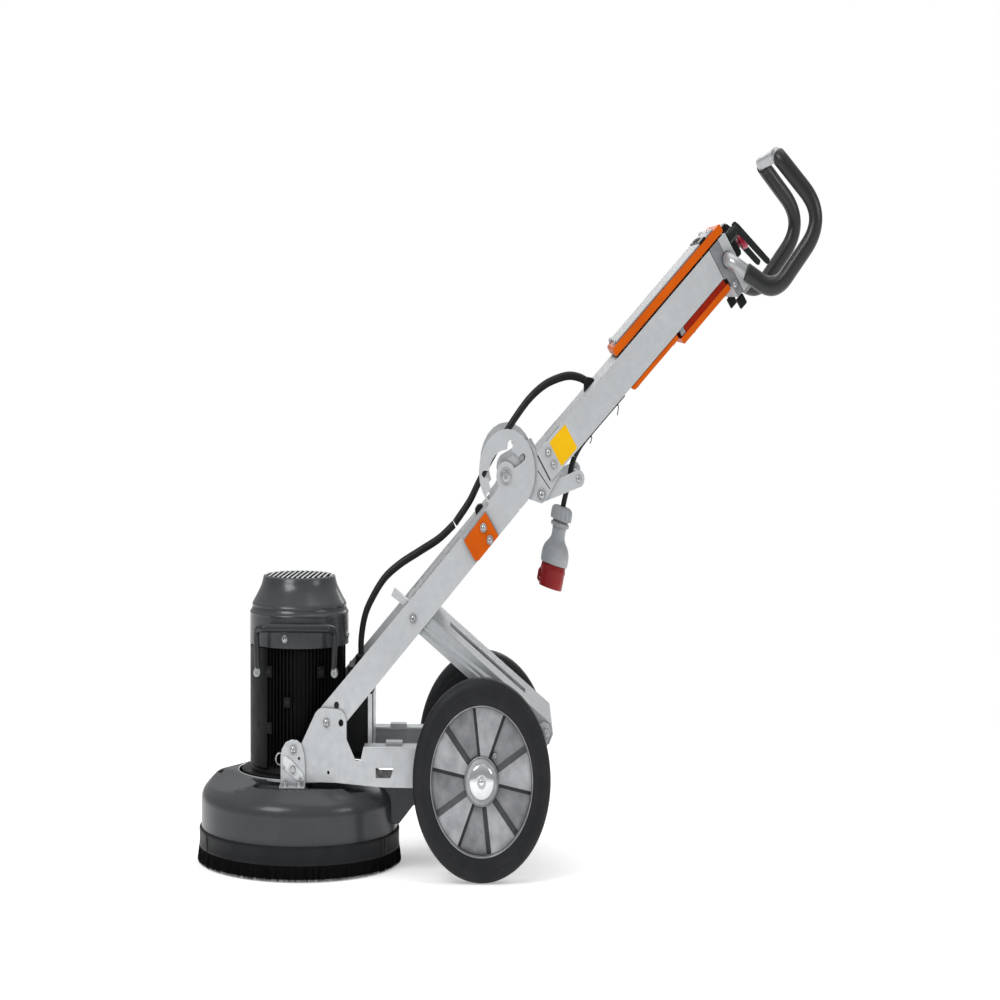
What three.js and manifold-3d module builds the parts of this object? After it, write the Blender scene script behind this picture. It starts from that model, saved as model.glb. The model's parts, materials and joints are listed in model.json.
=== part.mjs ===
// Walk-behind concrete floor grinder: planetary grinding head with an upright
// three-phase motor, carried by a two-wheel folded-sheet chassis with a folding
// arm and a clamp-on loop handlebar.  Millimetres, +Z up, -Y is the operator's
// left, +X points back towards the operator.  Origin: centre of the footprint,
// on the floor.
import * as THREE from 'three';
import { mergeVertices } from 'three/addons/utils/BufferGeometryUtils.js';
import Module from 'manifold-3d';

const wasm = await Module();
wasm.setup();

// ---------------------------------------------------------------- dimensions
const SHIFT_X = -58.04;          // axle frame -> footprint centre
const GAP = 0.3;                 // running / seating gap between pieces

const WHEEL_R = 160;             // tyre radius
const RIM_R = 119;
const WHEEL_IN = 195;            // inner face of the wheel, |y|
const WHEEL_OUT = 245;           // outer face of the wheel, |y|
const AXLE_R = 10;
const AXLE_Z = 160;

const HEAD_X = -441;             // motor / head axis
const SHROUD_R = 236;
const DECK_Z = 146;
const SKIRT_R = 240;
const BRUSH_R = 246;
const MOTOR_R = 119;             // over the cooling fins
const MOTOR_TOP = 351;
const COWL_TOP = 456;
const TILT = [-443, 166.7];      // head tilt pin, x z
const STOP_BOLT = [-442.2, 198.1];

const MODULE = 9;                // gear module, stub teeth
const N_SUN = 12, N_PLANET = 18, N_RING = 48;
const SPINDLE_R = MODULE * (N_SUN + N_PLANET) / 2;   // 135
const GEAR_Z0 = 90, GEAR_Z1 = 104;
const TOOL_R = 89;

const PLATE_IN = 153.5, PLATE_OUT = 157;   // chassis side plates, |y|
const ARM_IN = 150.2, ARM_OUT = 153.2;     // folded arm walls, |y|
const FORK_IN = 146.7, FORK_OUT = 149.9;

const ARM1_ANG = 39.4, ARM1_O = [-137.7, 391.35];    // lower arm frame
const ARM2_ANG = 37.8, ARM2_O = [226, 668];          // upper arm frame
const STRUT_ANG = -30.8;
const FOLD = [56.5, 626.7];      // fold pivot
const DISC_C = [59, 634], DISC_R = 66;
const LEVER_P = [140, 597.7];    // lock lever pivot
const LEVER_E = [227, 622];      // lock lever cross bar
const PIN_ANG = 37, PIN_R = 46.8;
const BAR_U = 458, BAR_W = 17.6, BAR_R = 12.5, GRIP_R = 15.8;
const CORD_P = [222, 650];       // supply cord swing point

// ------------------------------------------------------------------- helpers
const rad = (a) => a * Math.PI / 180;
const frame2 = (o, deg) => (u, w) => [
  o[0] + u * Math.cos(rad(deg)) - w * Math.sin(rad(deg)),
  o[1] + u * Math.sin(rad(deg)) + w * Math.cos(rad(deg)),
];
const A1 = frame2(ARM1_O, ARM1_ANG);
const A2 = frame2(ARM2_O, ARM2_ANG);
const S1 = frame2([0, 0], STRUT_ANG);
const [BAR_X, BAR_Z] = A2(BAR_U, BAR_W);

function clean(g) {
  const c = g.index ? g.toNonIndexed() : g.clone();
  c.deleteAttribute('normal');
  c.deleteAttribute('uv');
  const m = mergeVertices(c, 1e-4);
  // drop triangles that collapsed when vertices merged
  const idx = m.index.array, out = [];
  for (let i = 0; i < idx.length; i += 3) {
    const [a, b, d] = [idx[i], idx[i + 1], idx[i + 2]];
    if (a !== b && b !== d && a !== d) out.push(a, b, d);
  }
  m.setIndex(out);
  return m;
}
function M(g) {
  const m = clean(g);
  return new wasm.Manifold(new wasm.Mesh({
    numProp: 3,
    vertProperties: new Float32Array(m.attributes.position.array),
    triVerts: new Uint32Array(m.index.array),
  }));
}
function G(man) {
  const mesh = man.getMesh();
  const g = new THREE.BufferGeometry();
  const p = new Float32Array((mesh.vertProperties.length / mesh.numProp) * 3);
  for (let i = 0; i < p.length / 3; i++) {
    for (let k = 0; k < 3; k++) p[3 * i + k] = mesh.vertProperties[i * mesh.numProp + k];
  }
  g.setAttribute('position', new THREE.BufferAttribute(p, 3));
  g.setIndex(Array.from(mesh.triVerts));
  return g;
}
const join = (...gs) => G(gs.map((g) => M(g)).reduce((a, b) => a.add(b)));
const cut = (g, ...cs) => G(cs.reduce((a, c) => a.subtract(M(c)), M(g)));
const both = (a, b) => G(M(a).intersect(M(b)));

function box(x0, x1, y0, y1, z0, z1) {
  const g = new THREE.BoxGeometry(x1 - x0, y1 - y0, z1 - z0);
  g.translate((x0 + x1) / 2, (y0 + y1) / 2, (z0 + z1) / 2);
  return g;
}
function cylZ(x, y, r, z0, z1, n = 24, r2 = r) {
  const g = new THREE.CylinderGeometry(r2, r, z1 - z0, n);
  g.rotateX(Math.PI / 2);
  g.translate(x, y, (z0 + z1) / 2);
  return g;
}
function cylY(x, z, r, y0, y1, n = 20) {
  const g = new THREE.CylinderGeometry(r, r, y1 - y0, n);
  g.translate(x, (y0 + y1) / 2, z);
  return g;
}
function cylX(y, z, r, x0, x1, n = 20) {
  const g = new THREE.CylinderGeometry(r, r, x1 - x0, n);
  g.rotateZ(-Math.PI / 2);
  g.translate((x0 + x1) / 2, y, z);
  return g;
}
// cylinder whose axis is the arm direction, from u0 to u1 in an arm frame
function cylU(A, deg, u0, u1, w, y, r, n = 18) {
  const g = new THREE.CylinderGeometry(r, r, u1 - u0, n);
  g.rotateZ(-Math.PI / 2);
  g.rotateY(-rad(deg));
  const [x, z] = A((u0 + u1) / 2, w);
  g.translate(x, y, z);
  return g;
}
// side profile in x,z extruded across y0..y1
function plate(pts, y0, y1, holes = []) {
  const s = new THREE.Shape(pts.map((p) => new THREE.Vector2(p[0], p[1])));
  for (const h of holes) s.holes.push(new THREE.Path(h.map((p) => new THREE.Vector2(p[0], p[1]))));
  const g = new THREE.ExtrudeGeometry(s, { depth: y1 - y0, bevelEnabled: false, steps: 1 });
  g.rotateX(Math.PI / 2);
  g.translate(0, y1, 0);
  return g;
}
// plan profile in x,y extruded from z0 to z1
function slab(pts, z0, z1, holes = []) {
  const s = new THREE.Shape(pts.map((p) => new THREE.Vector2(p[0], p[1])));
  for (const h of holes) s.holes.push(new THREE.Path(h.map((p) => new THREE.Vector2(p[0], p[1]))));
  const g = new THREE.ExtrudeGeometry(s, { depth: z1 - z0, bevelEnabled: false, steps: 1 });
  g.translate(0, 0, z0);
  return g;
}
function ring(c, r, n = 24, a0 = 0) {
  const out = [];
  for (let i = 0; i < n; i++) {
    const a = a0 + 2 * Math.PI * i / n;
    out.push([c[0] + r * Math.cos(a), c[1] + r * Math.sin(a)]);
  }
  return out;
}
function arc(c, r, d0, d1, n) {
  const out = [];
  for (let i = 0; i <= n; i++) {
    const a = rad(d0 + (d1 - d0) * i / n);
    out.push([c[0] + r * Math.cos(a), c[1] + r * Math.sin(a)]);
  }
  return out;
}
function hull(pts) {
  const p = pts.slice().sort((a, b) => a[0] - b[0] || a[1] - b[1]);
  const cr = (o, a, b) => (a[0] - o[0]) * (b[1] - o[1]) - (a[1] - o[1]) * (b[0] - o[0]);
  const lo = [], up = [];
  for (const q of p) {
    while (lo.length > 1 && cr(lo[lo.length - 2], lo[lo.length - 1], q) <= 1e-6) lo.pop();
    lo.push(q);
  }
  for (const q of p.reverse()) {
    while (up.length > 1 && cr(up[up.length - 2], up[up.length - 1], q) <= 1e-6) up.pop();
    up.push(q);
  }
  return lo.slice(0, -1).concat(up.slice(0, -1));
}
const rect = (A, u0, u1, w0, w1) => [A(u0, w0), A(u1, w0), A(u1, w1), A(u0, w1)];
// revolve a closed r,z profile about the vertical line x,y
function lathe(prof, n = 40, x = 0, y = 0) {
  const pts = prof.map((p) => new THREE.Vector2(p[0], p[1]));
  const first = prof[0], last = prof[prof.length - 1];
  if (!(first[0] === 0 && last[0] === 0)) pts.push(new THREE.Vector2(first[0], first[1]));
  const g = new THREE.LatheGeometry(pts, n);
  g.rotateX(Math.PI / 2);
  g.translate(x, y, 0);
  return g;
}
// make sure a lathe or extrusion points outwards
function outward(g) {
  const m = clean(g);
  const p = m.attributes.position, ix = m.index;
  let v = 0;
  const a = new THREE.Vector3(), b = new THREE.Vector3(), c = new THREE.Vector3();
  for (let i = 0; i < ix.count; i += 3) {
    a.fromBufferAttribute(p, ix.getX(i));
    b.fromBufferAttribute(p, ix.getX(i + 1));
    c.fromBufferAttribute(p, ix.getX(i + 2));
    v += a.dot(b.cross(c));
  }
  if (v < 0) {
    const arr = Array.from(ix.array);
    for (let i = 0; i < arr.length; i += 3) [arr[i + 1], arr[i + 2]] = [arr[i + 2], arr[i + 1]];
    m.setIndex(arr);
  }
  return m;
}
const rev = (prof, n, x, y) => outward(lathe(prof, n, x, y));
// round rod swept along a polyline with filleted corners
function filletPath(pts, radii) {
  const path = new THREE.CurvePath();
  const P = pts.map((p) => new THREE.Vector3(...p));
  let cur = P[0].clone();
  for (let i = 1; i < P.length - 1; i++) {
    const a = P[i - 1].clone().sub(P[i]).normalize();
    const b = P[i + 1].clone().sub(P[i]).normalize();
    const half = Math.acos(THREE.MathUtils.clamp(a.dot(b), -1, 1)) / 2;
    const d = radii[i] / Math.tan(half);
    const s = P[i].clone().addScaledVector(a, d);
    const e = P[i].clone().addScaledVector(b, d);
    path.add(new THREE.LineCurve3(cur, s));
    path.add(new THREE.QuadraticBezierCurve3(s, P[i], e));
    cur = e;
  }
  path.add(new THREE.LineCurve3(cur, P[P.length - 1]));
  return path;
}
function sweep(path, r, steps, n = 10) {
  const s = new THREE.Shape(ring([0, 0], r, n).map((p) => new THREE.Vector2(p[0], p[1])));
  return outward(new THREE.ExtrudeGeometry(s, { steps, bevelEnabled: false, extrudePath: path }));
}
const spline = (pts) => new THREE.CatmullRomCurve3(pts.map((p) => new THREE.Vector3(...p)), false, 'centripetal');

const group = new THREE.Group();
group.position.x = SHIFT_X;
const MAT = {
  galv: [0xc4c7c9, 0.38, 0.75], steel: [0xa9adb0, 0.32, 0.85], alu: [0xb4b6b8, 0.42, 0.75],
  grey: [0x4a4c4f, 0.42, 0.1], black: [0x17181a, 0.55, 0.1], rubber: [0x1b1b1c, 0.85, 0],
  brush: [0x0e0e0f, 0.95, 0], orange: [0xd95f10, 0.4, 0], red: [0xb3151c, 0.4, 0],
  plug: [0x8f9294, 0.5, 0], copper: [0x9c5a30, 0.5, 0.6], iron: [0x3c3d3f, 0.6, 0.4],
};
function put(name, geom, mat) {
  const [color, roughness, metalness] = MAT[mat];
  const m = new THREE.Mesh(geom, new THREE.MeshStandardMaterial({ color, roughness, metalness }));
  m.name = name;
  group.add(m);
  return m;
}
const SIDES = [['left', -1], ['right', 1]];
// y interval on one side, given inner and outer distance from the middle
const yy = (s, a, b) => (s < 0 ? [-b, -a] : [a, b]);

// ------------------------------------------------------------- wheels + axle
put('axle', cylY(0, AXLE_Z, AXLE_R, -250, 250, 20), 'steel');
for (const [side, s] of SIDES) {
  // tyre: solid rubber ring with crowned tread and rounded shoulders
  const tyre = [[RIM_R + GAP, 197], [140, 196], [154, 199.5], [160, 209], [160, 231],
    [154, 241], [140, 245], [RIM_R + GAP, 243.5]];
  const tg = new THREE.LatheGeometry(tyre.concat([tyre[0]]).map((p) => new THREE.Vector2(p[0], p[1])), 24);
  if (s < 0) tg.rotateX(Math.PI);
  tg.translate(0, 0, AXLE_Z);
  put(`tyre_${side}`, outward(tg), 'rubber');
  // rim: cast disc, ten sectors alternately raised and recessed, hub boss
  const rimp = [[10.6, 196], [26, 196], [26, 206], [109, 206], [109, 197], [RIM_R, 197],
    [RIM_R, 243], [110, 243], [109, 236], [40, 236], [38, 243], [24, 246], [10.6, 246]];
  const rg = new THREE.LatheGeometry(rimp.concat([rimp[0]]).map((p) => new THREE.Vector2(p[0], p[1])), 24);
  let rim = outward(rg);
  const cuts = [];
  for (let k = 0; k < 5; k++) {
    const a0 = 8 + 72 * k + 1.5, a1 = a0 + 33;
    const prof = arc([0, 0], 105, a0, a1, 2).concat(arc([0, 0], 43, a1 - 1, a0 + 1, 1));
    const g = slab(prof, 0, 9);
    g.rotateX(-Math.PI / 2);         // plan x,y -> x,-z ; height -> y
    g.translate(0, 227.5, 0);
    cuts.push(g);
  }
  rim = cut(rim, ...cuts);
  if (s < 0) rim.rotateX(Math.PI);
  rim.translate(0, 0, AXLE_Z);
  put(`rim_${side}`, rim, 'alu');
}

// ------------------------------------------------------------------- chassis
for (const [side, s] of SIDES) {
  const [y0, y1] = yy(s, PLATE_IN, PLATE_OUT);
  const outline = [
    [-414, 147], [-425, 147], [-436, 150], [-450, 152], [-459, 160], [-461, 172], [-461, 190], [-456, 206], [-448, 211.5], [-436, 211.5],
    [-423.3, 207.5], [-390.4, 256], [-383, 261.5], [-376, 264], [-338.7, 262.4], [-329, 260], [-322, 254.5],
    [-318.5, 248], [-317.5, 240.4], [-317.5, 215], [-296, 181], [-284.5, 181], [-277.5, 203],
    [70, 203], [112, 208], [130, 238], [145, 244], [156, 240], [161, 230], [156, 214], [140, 186], [112, 152],
    [60, 139], [-120, 138.5], [-230, 139.5], [-300, 143.5], [-340, 146]];
  const holes = [
    ring([0, AXLE_Z], AXLE_R + GAP + 0.2, 20),
    ring(TILT, 7.6, 12), ring(STOP_BOLT, 8, 8),
    ring([-364.5, 240.4], 6, 8), ring([-330.4, 240.4], 6, 10), ring([-360, 162], 3.2, 6),
    [[-249, 154], [-214, 154], [-207, 170], [-249, 170]],
    ring([150, 226], 6, 6),
  ];
  let g = outward(plate(outline, y0, y1, holes));
  const fl = s < 0 ? box(-277, 70, -156.9, -107, 200, 203) : box(-277, 70, 107, 156.9, 200, 203);
  const tab = s < 0 ? box(-226, -187, -135, -107.5, 202.5, 209) : box(-226, -187, 107.5, 135, 202.5, 209);
  g = join(g, fl, tab);
  put(`side_plate_${side}`, g, 'galv');
}

// lower arm: two walls joined by a slotted top web over the upper half
{
  const wall = hull([A1(-271, 27.3 + 27), A1(-285, 24.5 + 24), A1(-298, 35), A1(-299, 22), A1(-290, 5), A1(-271, -1.5),
    A1(234, -1.5), A1(234, 50.5)]);
  const holes = [ring([-364.5, 240.4], 6, 8), ring([-161.2, 404.6], 6, 8)];
  const walls = SIDES.map(([, s]) => outward(plate(wall, ...yy(s, ARM_IN, ARM_OUT), holes)));
  let web = outward(plate(rect(A1, -14, 234, 47.5, 50.5), -153, 153));
  const cutters = [];
  for (const [u0, u1] of [[4, 18], [26, 96], [110, 150]]) {
    for (const y of [-118, 62]) cutters.push(outward(plate(rect(A1, u0, u1, 40, 60), y, y + 56)));
  }
  web = cut(web, ...cutters);
  // upturned stop clip near the left wall
  const clip = cut(outward(plate([A1(-12, 49), A1(0.5, 49), A1(-15, 89), A1(-27.5, 85)], -148, -118)),
    outward(plate([A1(-10.6, 54), A1(-4.2, 54), A1(-20.4, 96), A1(-27, 94)], -145, -121)));
  put('lower_arm', join(walls[0], walls[1], web, clip), 'galv');
}
// rear strut: folded channel from the middle of the lower arm to the chassis tail
{
  const w0 = 251, w1 = 289, u0 = -362, u1 = 22;
  const wall = [S1(u0 + 6, w0 + 4), S1(u0 + 12, w0), S1(u1, w0), S1(u1 + 7, w0 + 8), S1(u1 + 7, w1 - 12), S1(u1 - 3, w1),
    S1(u0 + 14, w1), S1(u0 + 5, w1 - 6)];
  const holes = [ring([-161.2, 404.6], 6, 6), ring([150, 226], 6, 6)];
  const walls = SIDES.map(([, s]) => outward(plate(wall, ...yy(s, FORK_IN, FORK_OUT), holes)));
  let web = outward(plate(rect(S1, -310, u1 - 3, w1 - 3, w1), -149.7, 149.7));
  const slot = outward(plate(rect(S1, -262, -52, w1 - 12, w1 + 9), -34, 34));
  web = cut(web, slot);
  put('rear_strut', join(walls[0], walls[1], web), 'galv');
}
// fold quadrants with a notched lock slot
for (const [side, s] of SIDES) {
  const [y0, y1] = yy(s, PLATE_IN, PLATE_OUT + 0.3);
  const outline = hull([...ring(DISC_C, DISC_R, 24), A1(163, -1.5), A1(163, 50), A1(245, -2)]);
  const slot = [];
  const notch = (a, r) => {
    const h = 5.6, c = rad(a);
    const p = (rr, t) => [FOLD[0] + rr * Math.cos(c) - t * Math.sin(c), FOLD[1] + rr * Math.sin(c) + t * Math.cos(c)];
    return [p(Math.sqrt(41 * 41 - h * h), -h), p(r - 5, -h), p(r - 1.4, -h * 0.6), p(r, 0), p(r - 1.4, h * 0.6), p(r - 5, h), p(Math.sqrt(41 * 41 - h * h), h)];
  };
  slot.push(...notch(PIN_ANG, 56));
  slot.push(...arc(FOLD, 41, 47, 69, 2), ...notch(78.6, 57));
  slot.push(...arc(FOLD, 41, 90, 166, 6), ...notch(176.5, 57));
  slot.push(...arc(FOLD, 41, 188, 207, 2), ...notch(217.6, 57));
  slot.push(...arc(FOLD, 23, 222, 34, 9));
  // above the arm's top edge only the round disc remains
  const g = both(outward(plate(outline, y0, y1, [slot, ring(FOLD, 9.5, 12)])),
    join(outward(plate(ring(DISC_C, DISC_R, 24), y0 - 2, y1 + 2)), outward(plate(rect(A1, 120, 290, -40, 50.2), y0 - 2, y1 + 2))));
  put(`fold_disc_${side}`, g, 'galv');
  // painted cover block over the joint between arm and quadrant
  const [b0, b1] = yy(s, PLATE_OUT + 0.6, PLATE_OUT + 6.6);
  put(`arm_block_${side}`, outward(plate([A1(160, 4), A1(167, -2), A1(227, -2), A1(227, 46.5), A1(160, 44)], b0, b1)), 'orange');
}
put('fold_pivot_pin', join(cylY(FOLD[0], FOLD[1], 8.5, -163, 163, 12), cylY(FOLD[0], FOLD[1], 13.5, -163.5, -157.6, 6), cylY(FOLD[0], FOLD[1], 13.5, 157.6, 163.5, 6)), 'steel');

// ------------------------------------------------------- grinding head shell
{
  const O = [[0, 40], [236, 40], [236, 106], [231, 116], [190, DECK_Z], [0, DECK_Z]];
  const I = [[0, 36], [233, 36], [233, 105], [228.5, 114], [189, DECK_Z - 3], [0, DECK_Z - 3]];
  const duct = (a, dz) => [[-330, 138 - a], [-116 + (a ? 6 : 0), 138 - a], [-106 + (a ? 6 : 0), 128 - a], [-106 + (a ? 6 : 0), 100 + dz], [-150, 96 + dz], [-198, 67 + dz], [-330, 67 + dz]];
  const recess = (grow) => [
    [-512 + grow, -200, 132 - grow, 250, 138.3 - grow],
    [-411 + grow, -200, 132 - grow, 250, 130 - grow]];
  let o = M(rev(O, 30, HEAD_X, 0)).add(M(outward(plate(duct(0, 0), -72, 72))));
  let i = M(rev(I, 30, HEAD_X, 0)).add(M(outward(plate(duct(3, 3), -69, 69))));
  for (const s of [-1, 1]) {
    for (const [x0, x1, a, b, z] of recess(0)) o = o.subtract(M(box(x0, x1, s < 0 ? -b : a, s < 0 ? -a : b, z, 200)));
    for (const [x0, x1, a, b, z] of recess(0)) i = i.subtract(M(box(x0 - 3, x1 + 3, s < 0 ? -b : a - 3, s < 0 ? -a + 3 : b, z - 3, 200)));
  }
  o = o.add(M(cylX(0, 112, 27, -112, -70, 16)));
  let sh = o.subtract(i).subtract(M(cylX(0, 112, 24, -140, -60, 16)));
  sh = sh.subtract(M(cylZ(HEAD_X, 0, 146, 130, 160, 24)));
  put('shroud', G(sh), 'grey');
}
put('skirt_band', rev([[236.5, 25], [SKIRT_R + 1, 25], [SKIRT_R, 55], [236.5, 55]], 30, HEAD_X, 0), 'rubber');
put('brush_skirt', rev([[235.5, 1], [BRUSH_R, 1], [241.5, 24.7], [236.7, 24.7]], 30, HEAD_X, 0), 'brush');

// motor housing: flanged base, finned barrel, upper bearing plate
{
  const fins = [];
  const N = 20;
  for (let k = 0; k < N; k++) {
    const c = 360 * k / N, r0 = 106, r1 = MOTOR_R - 1;
    const p = (r, a) => [HEAD_X + r * Math.cos(rad(a)), r * Math.sin(rad(a))];
    fins.push(p(r0, c - 2.2), p(r1, c - 1.1), p(r1, c + 1.1), p(r0, c + 2.2));
  }
  let h = M(outward(slab(fins, 165, MOTOR_TOP)));
  h = h.add(M(cylZ(HEAD_X, 0, 113, 150, 167, 24))).add(M(cylZ(HEAD_X, 0, 138, 130, 150.5, 30)));
  h = h.subtract(M(cylZ(HEAD_X, 0, 98.6, 157, 338, 24)));
  h = h.subtract(M(cylZ(HEAD_X, 0, 23, 120, 158, 16))).subtract(M(cylZ(HEAD_X, 0, 40.4, 134, 150, 20)));
  h = h.subtract(M(cylZ(HEAD_X, 0, 16.5, 330, 360, 12))).subtract(M(cylZ(HEAD_X, 0, 30.4, 336, 347, 16)));
  put('motor_housing', G(h), 'black');
}
put('lower_bearing', rev([[20.4, 134.6], [40, 134.6], [40, 149.4], [20.4, 149.4]], 20, HEAD_X, 0), 'steel');
put('upper_bearing', rev([[14.4, 338.4], [30, 338.4], [30, 346.6], [14.4, 346.6]], 16, HEAD_X, 0), 'steel');
put('stator', rev([[60.5, 185], [98.2, 185], [98.2, 325], [60.5, 325]], 24, HEAD_X, 0), 'copper');
{
  const out = [[0, COWL_TOP], [86, COWL_TOP], [101, 441], [111, 420], [MOTOR_R, 402], [MOTOR_R, MOTOR_TOP + 0.4]];
  const inn = [[MOTOR_R - 2.5, MOTOR_TOP + 0.4], [MOTOR_R - 2.5, 401], [108.5, 418.5], [98.5, 440], [84.5, COWL_TOP - 2.5], [0, COWL_TOP - 2.5]];
  let c = M(rev(out.concat(inn), 20, HEAD_X, 0));
  for (let k = -2; k <= 2; k++) {
    const half = Math.sqrt(78 * 78 - (28 * k) ** 2);
    const g = box(-half, half, -3, 3, 440, 470);
    g.translate(0, 28 * k, 0);
    g.rotateZ(rad(38));
    g.translate(HEAD_X, 0, 0);
    c = c.subtract(M(g));
  }
  put('fan_cowl', G(c), 'grey');
}
{
  let f = M(cylZ(HEAD_X, 0, 88, 362, 366, 20)).add(M(cylZ(HEAD_X, 0, 24, 360, 384, 12)));
  for (let k = 0; k < 6; k++) {
    const g = box(20, 86, -2, 2, 365, 386);
    g.rotateZ(rad(360 * k / 6));
    g.translate(HEAD_X, 0, 0);
    f = f.add(M(g));
  }
  put('cooling_fan', G(f.subtract(M(cylZ(HEAD_X, 0, 12.6, 350, 400, 12)))), 'black');
}
// front lifting handle, bolted to the barrel
{
  const p = filletPath([[-533, -106, 306], [-534, -112, 387], [-517, -131, 389], [-365, -131, 389], [-348, -112, 387], [-349, -106, 306]], [0, 14, 10, 10, 14, 0]);
  put('lifting_handle', sweep(p, 6.5, 18, 6), 'black');
}
put('terminal_box', cut(join(box(-321.4, -264, -50, 50, 172, 318), box(-321.4, -262, -54, 54, 180, 300), cylZ(-292, 0, 11, 317, 331, 12)),
  cylZ(-292, 0, 8, 322, 340, 12)), 'black');
for (const [side, s] of SIDES) {
  // pivot cheek with a foot on the deck pad
  const prof = [[-414, 138.6], [-414, 168], [-416, 190], [-423, 207], [-434, 213], [-447, 213.5], [-460, 209], [-469, 199], [-472, 187], [-472, 150], [-474, 138.6]];
  let g = outward(plate(prof, ...yy(s, PLATE_OUT + 0.4, PLATE_OUT + 4.2), [ring(TILT, 7.6, 12), ring(STOP_BOLT, 6, 8)]));
  g = join(g, s < 0 ? box(-474, -414, -186, -157.4, 138.6, 142) : box(-474, -414, 157.4, 186, 138.6, 142));
  put(`pivot_bracket_${side}`, g, 'galv');
  // release pin with its pull ring on the inside of the plate
  const ringG = new THREE.TorusGeometry(9.5, 1.5, 5, 12);
  ringG.rotateX(Math.PI / 2);
  ringG.translate(-475, s * 150.5, 181.5);
  put(`release_pin_${side}`, join(
    cylY(TILT[0], TILT[1], 6.9, ...(s < 0 ? [-163, -148] : [148, 163]), 12),
    cylY(TILT[0], TILT[1], 5, ...(s < 0 ? [-166.5, -162] : [162, 166.5]), 8),
    outward(plate([[-446, 160], [-440, 172], [-466, 181], [-467, 176]], ...yy(s, 149, 152))),
    outward(ringG)), 'steel');
}

// ------------------------------------------------------------- planetary drive
function gear(n, sign, turn, cx, cy) {
  // sign +1: external teeth, -1: internal teeth outline
  const rp = MODULE * n / 2, al = rad(25), add = 0.7 * MODULE, ded = 0.86 * MODULE;
  const inv = (t) => Math.tan(t) - t;
  const rb = rp * Math.cos(al);
  const rt = sign > 0 ? rp + add : rp - add;
  const rf = sign > 0 ? rp - ded : rp + ded;
  const back = 0.75 / rp;                               // flank relief, radians each side
  const halfAt = (r) => {
    const rr = Math.max(r, rb * 1.001);
    const h = Math.PI / (2 * n) + inv(al) - inv(Math.acos(rb / rr));
    return sign > 0 ? h - back : Math.PI / n - (Math.PI / (2 * n) + inv(al) - inv(Math.acos(rb / rr))) - back;
  };
  const out = [];
  for (let k = 0; k < n; k++) {
    const c = 2 * Math.PI * k / n + turn;
    const ht = halfAt(rt), hf = Math.min(halfAt(rf), Math.PI / n * 0.93);
    for (const [r, a] of [[rf, -hf], [rt, -ht], [rt, ht], [rf, hf]]) out.push([cx + r * Math.cos(c + a), cy + r * Math.sin(c + a)]);
  }
  return out;
}
put('rotor_shaft', join(
  outward(slab(gear(N_SUN, 1, 0, HEAD_X, 0), GEAR_Z0, GEAR_Z1)),
  cylZ(HEAD_X, 0, 14, 62, 93, 16), cylZ(HEAD_X, 0, 20, 103, 190, 16),
  cylZ(HEAD_X, 0, 58, 188, 322, 20),
  cylZ(HEAD_X, 0, 14, 320, 358, 16), cylZ(HEAD_X, 0, 12, 357, 392, 12)), 'steel');
put('ring_gear', outward(slab(ring([HEAD_X, 0], 231.5, 24), GEAR_Z0, GEAR_Z1 + 0.6, [gear(N_RING, -1, 0, HEAD_X, 0)])), 'steel');
{
  let c = M(cylZ(HEAD_X, 0, 200, 66, 84, 30)).add(M(cylZ(HEAD_X, 0, 44, 62, 88, 16)));
  c = c.subtract(M(cylZ(HEAD_X, 0, 30.5, 50, 100, 20)));
  for (let k = 0; k < 3; k++) {
    const a = rad(120 * k);
    c = c.subtract(M(cylZ(HEAD_X + SPINDLE_R * Math.cos(a), SPINDLE_R * Math.sin(a), 14.8, 50, 100, 14)));
    const b = rad(120 * k + 60);
    c = c.subtract(M(cylZ(HEAD_X + 125 * Math.cos(b), 125 * Math.sin(b), 42, 50, 100, 10)));
  }
  put('planet_carrier', G(c), 'iron');
}
put('carrier_bearing', rev([[14.4, 66], [30, 66], [30, 84], [14.4, 84]], 20, HEAD_X, 0), 'steel');
for (let k = 0; k < 3; k++) {
  const a = rad(120 * k), x = HEAD_X + SPINDLE_R * Math.cos(a), y = SPINDLE_R * Math.sin(a);
  const turn = a * (1 + N_SUN / N_PLANET) + Math.PI / N_PLANET;
  put(`planet_spindle_${k + 1}`, join(
    outward(slab(gear(N_PLANET, 1, turn, x, y), GEAR_Z0, GEAR_Z1)),
    cylZ(x, y, 14, 32, 93, 14), cylZ(x, y, 32, 31.2, 38, 12)), 'steel');
  const parts = [cylZ(x, y, TOOL_R, 16, 30.8, 24)];
  for (let j = 0; j < 3; j++) {
    const g = box(50, 82, -14, 14, 0, 17);
    g.rotateZ(rad(120 * j + 30));
    g.translate(x, y, 0);
    parts.push(g);
  }
  put(`tool_disc_${k + 1}`, join(...parts), 'iron');
}

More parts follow.
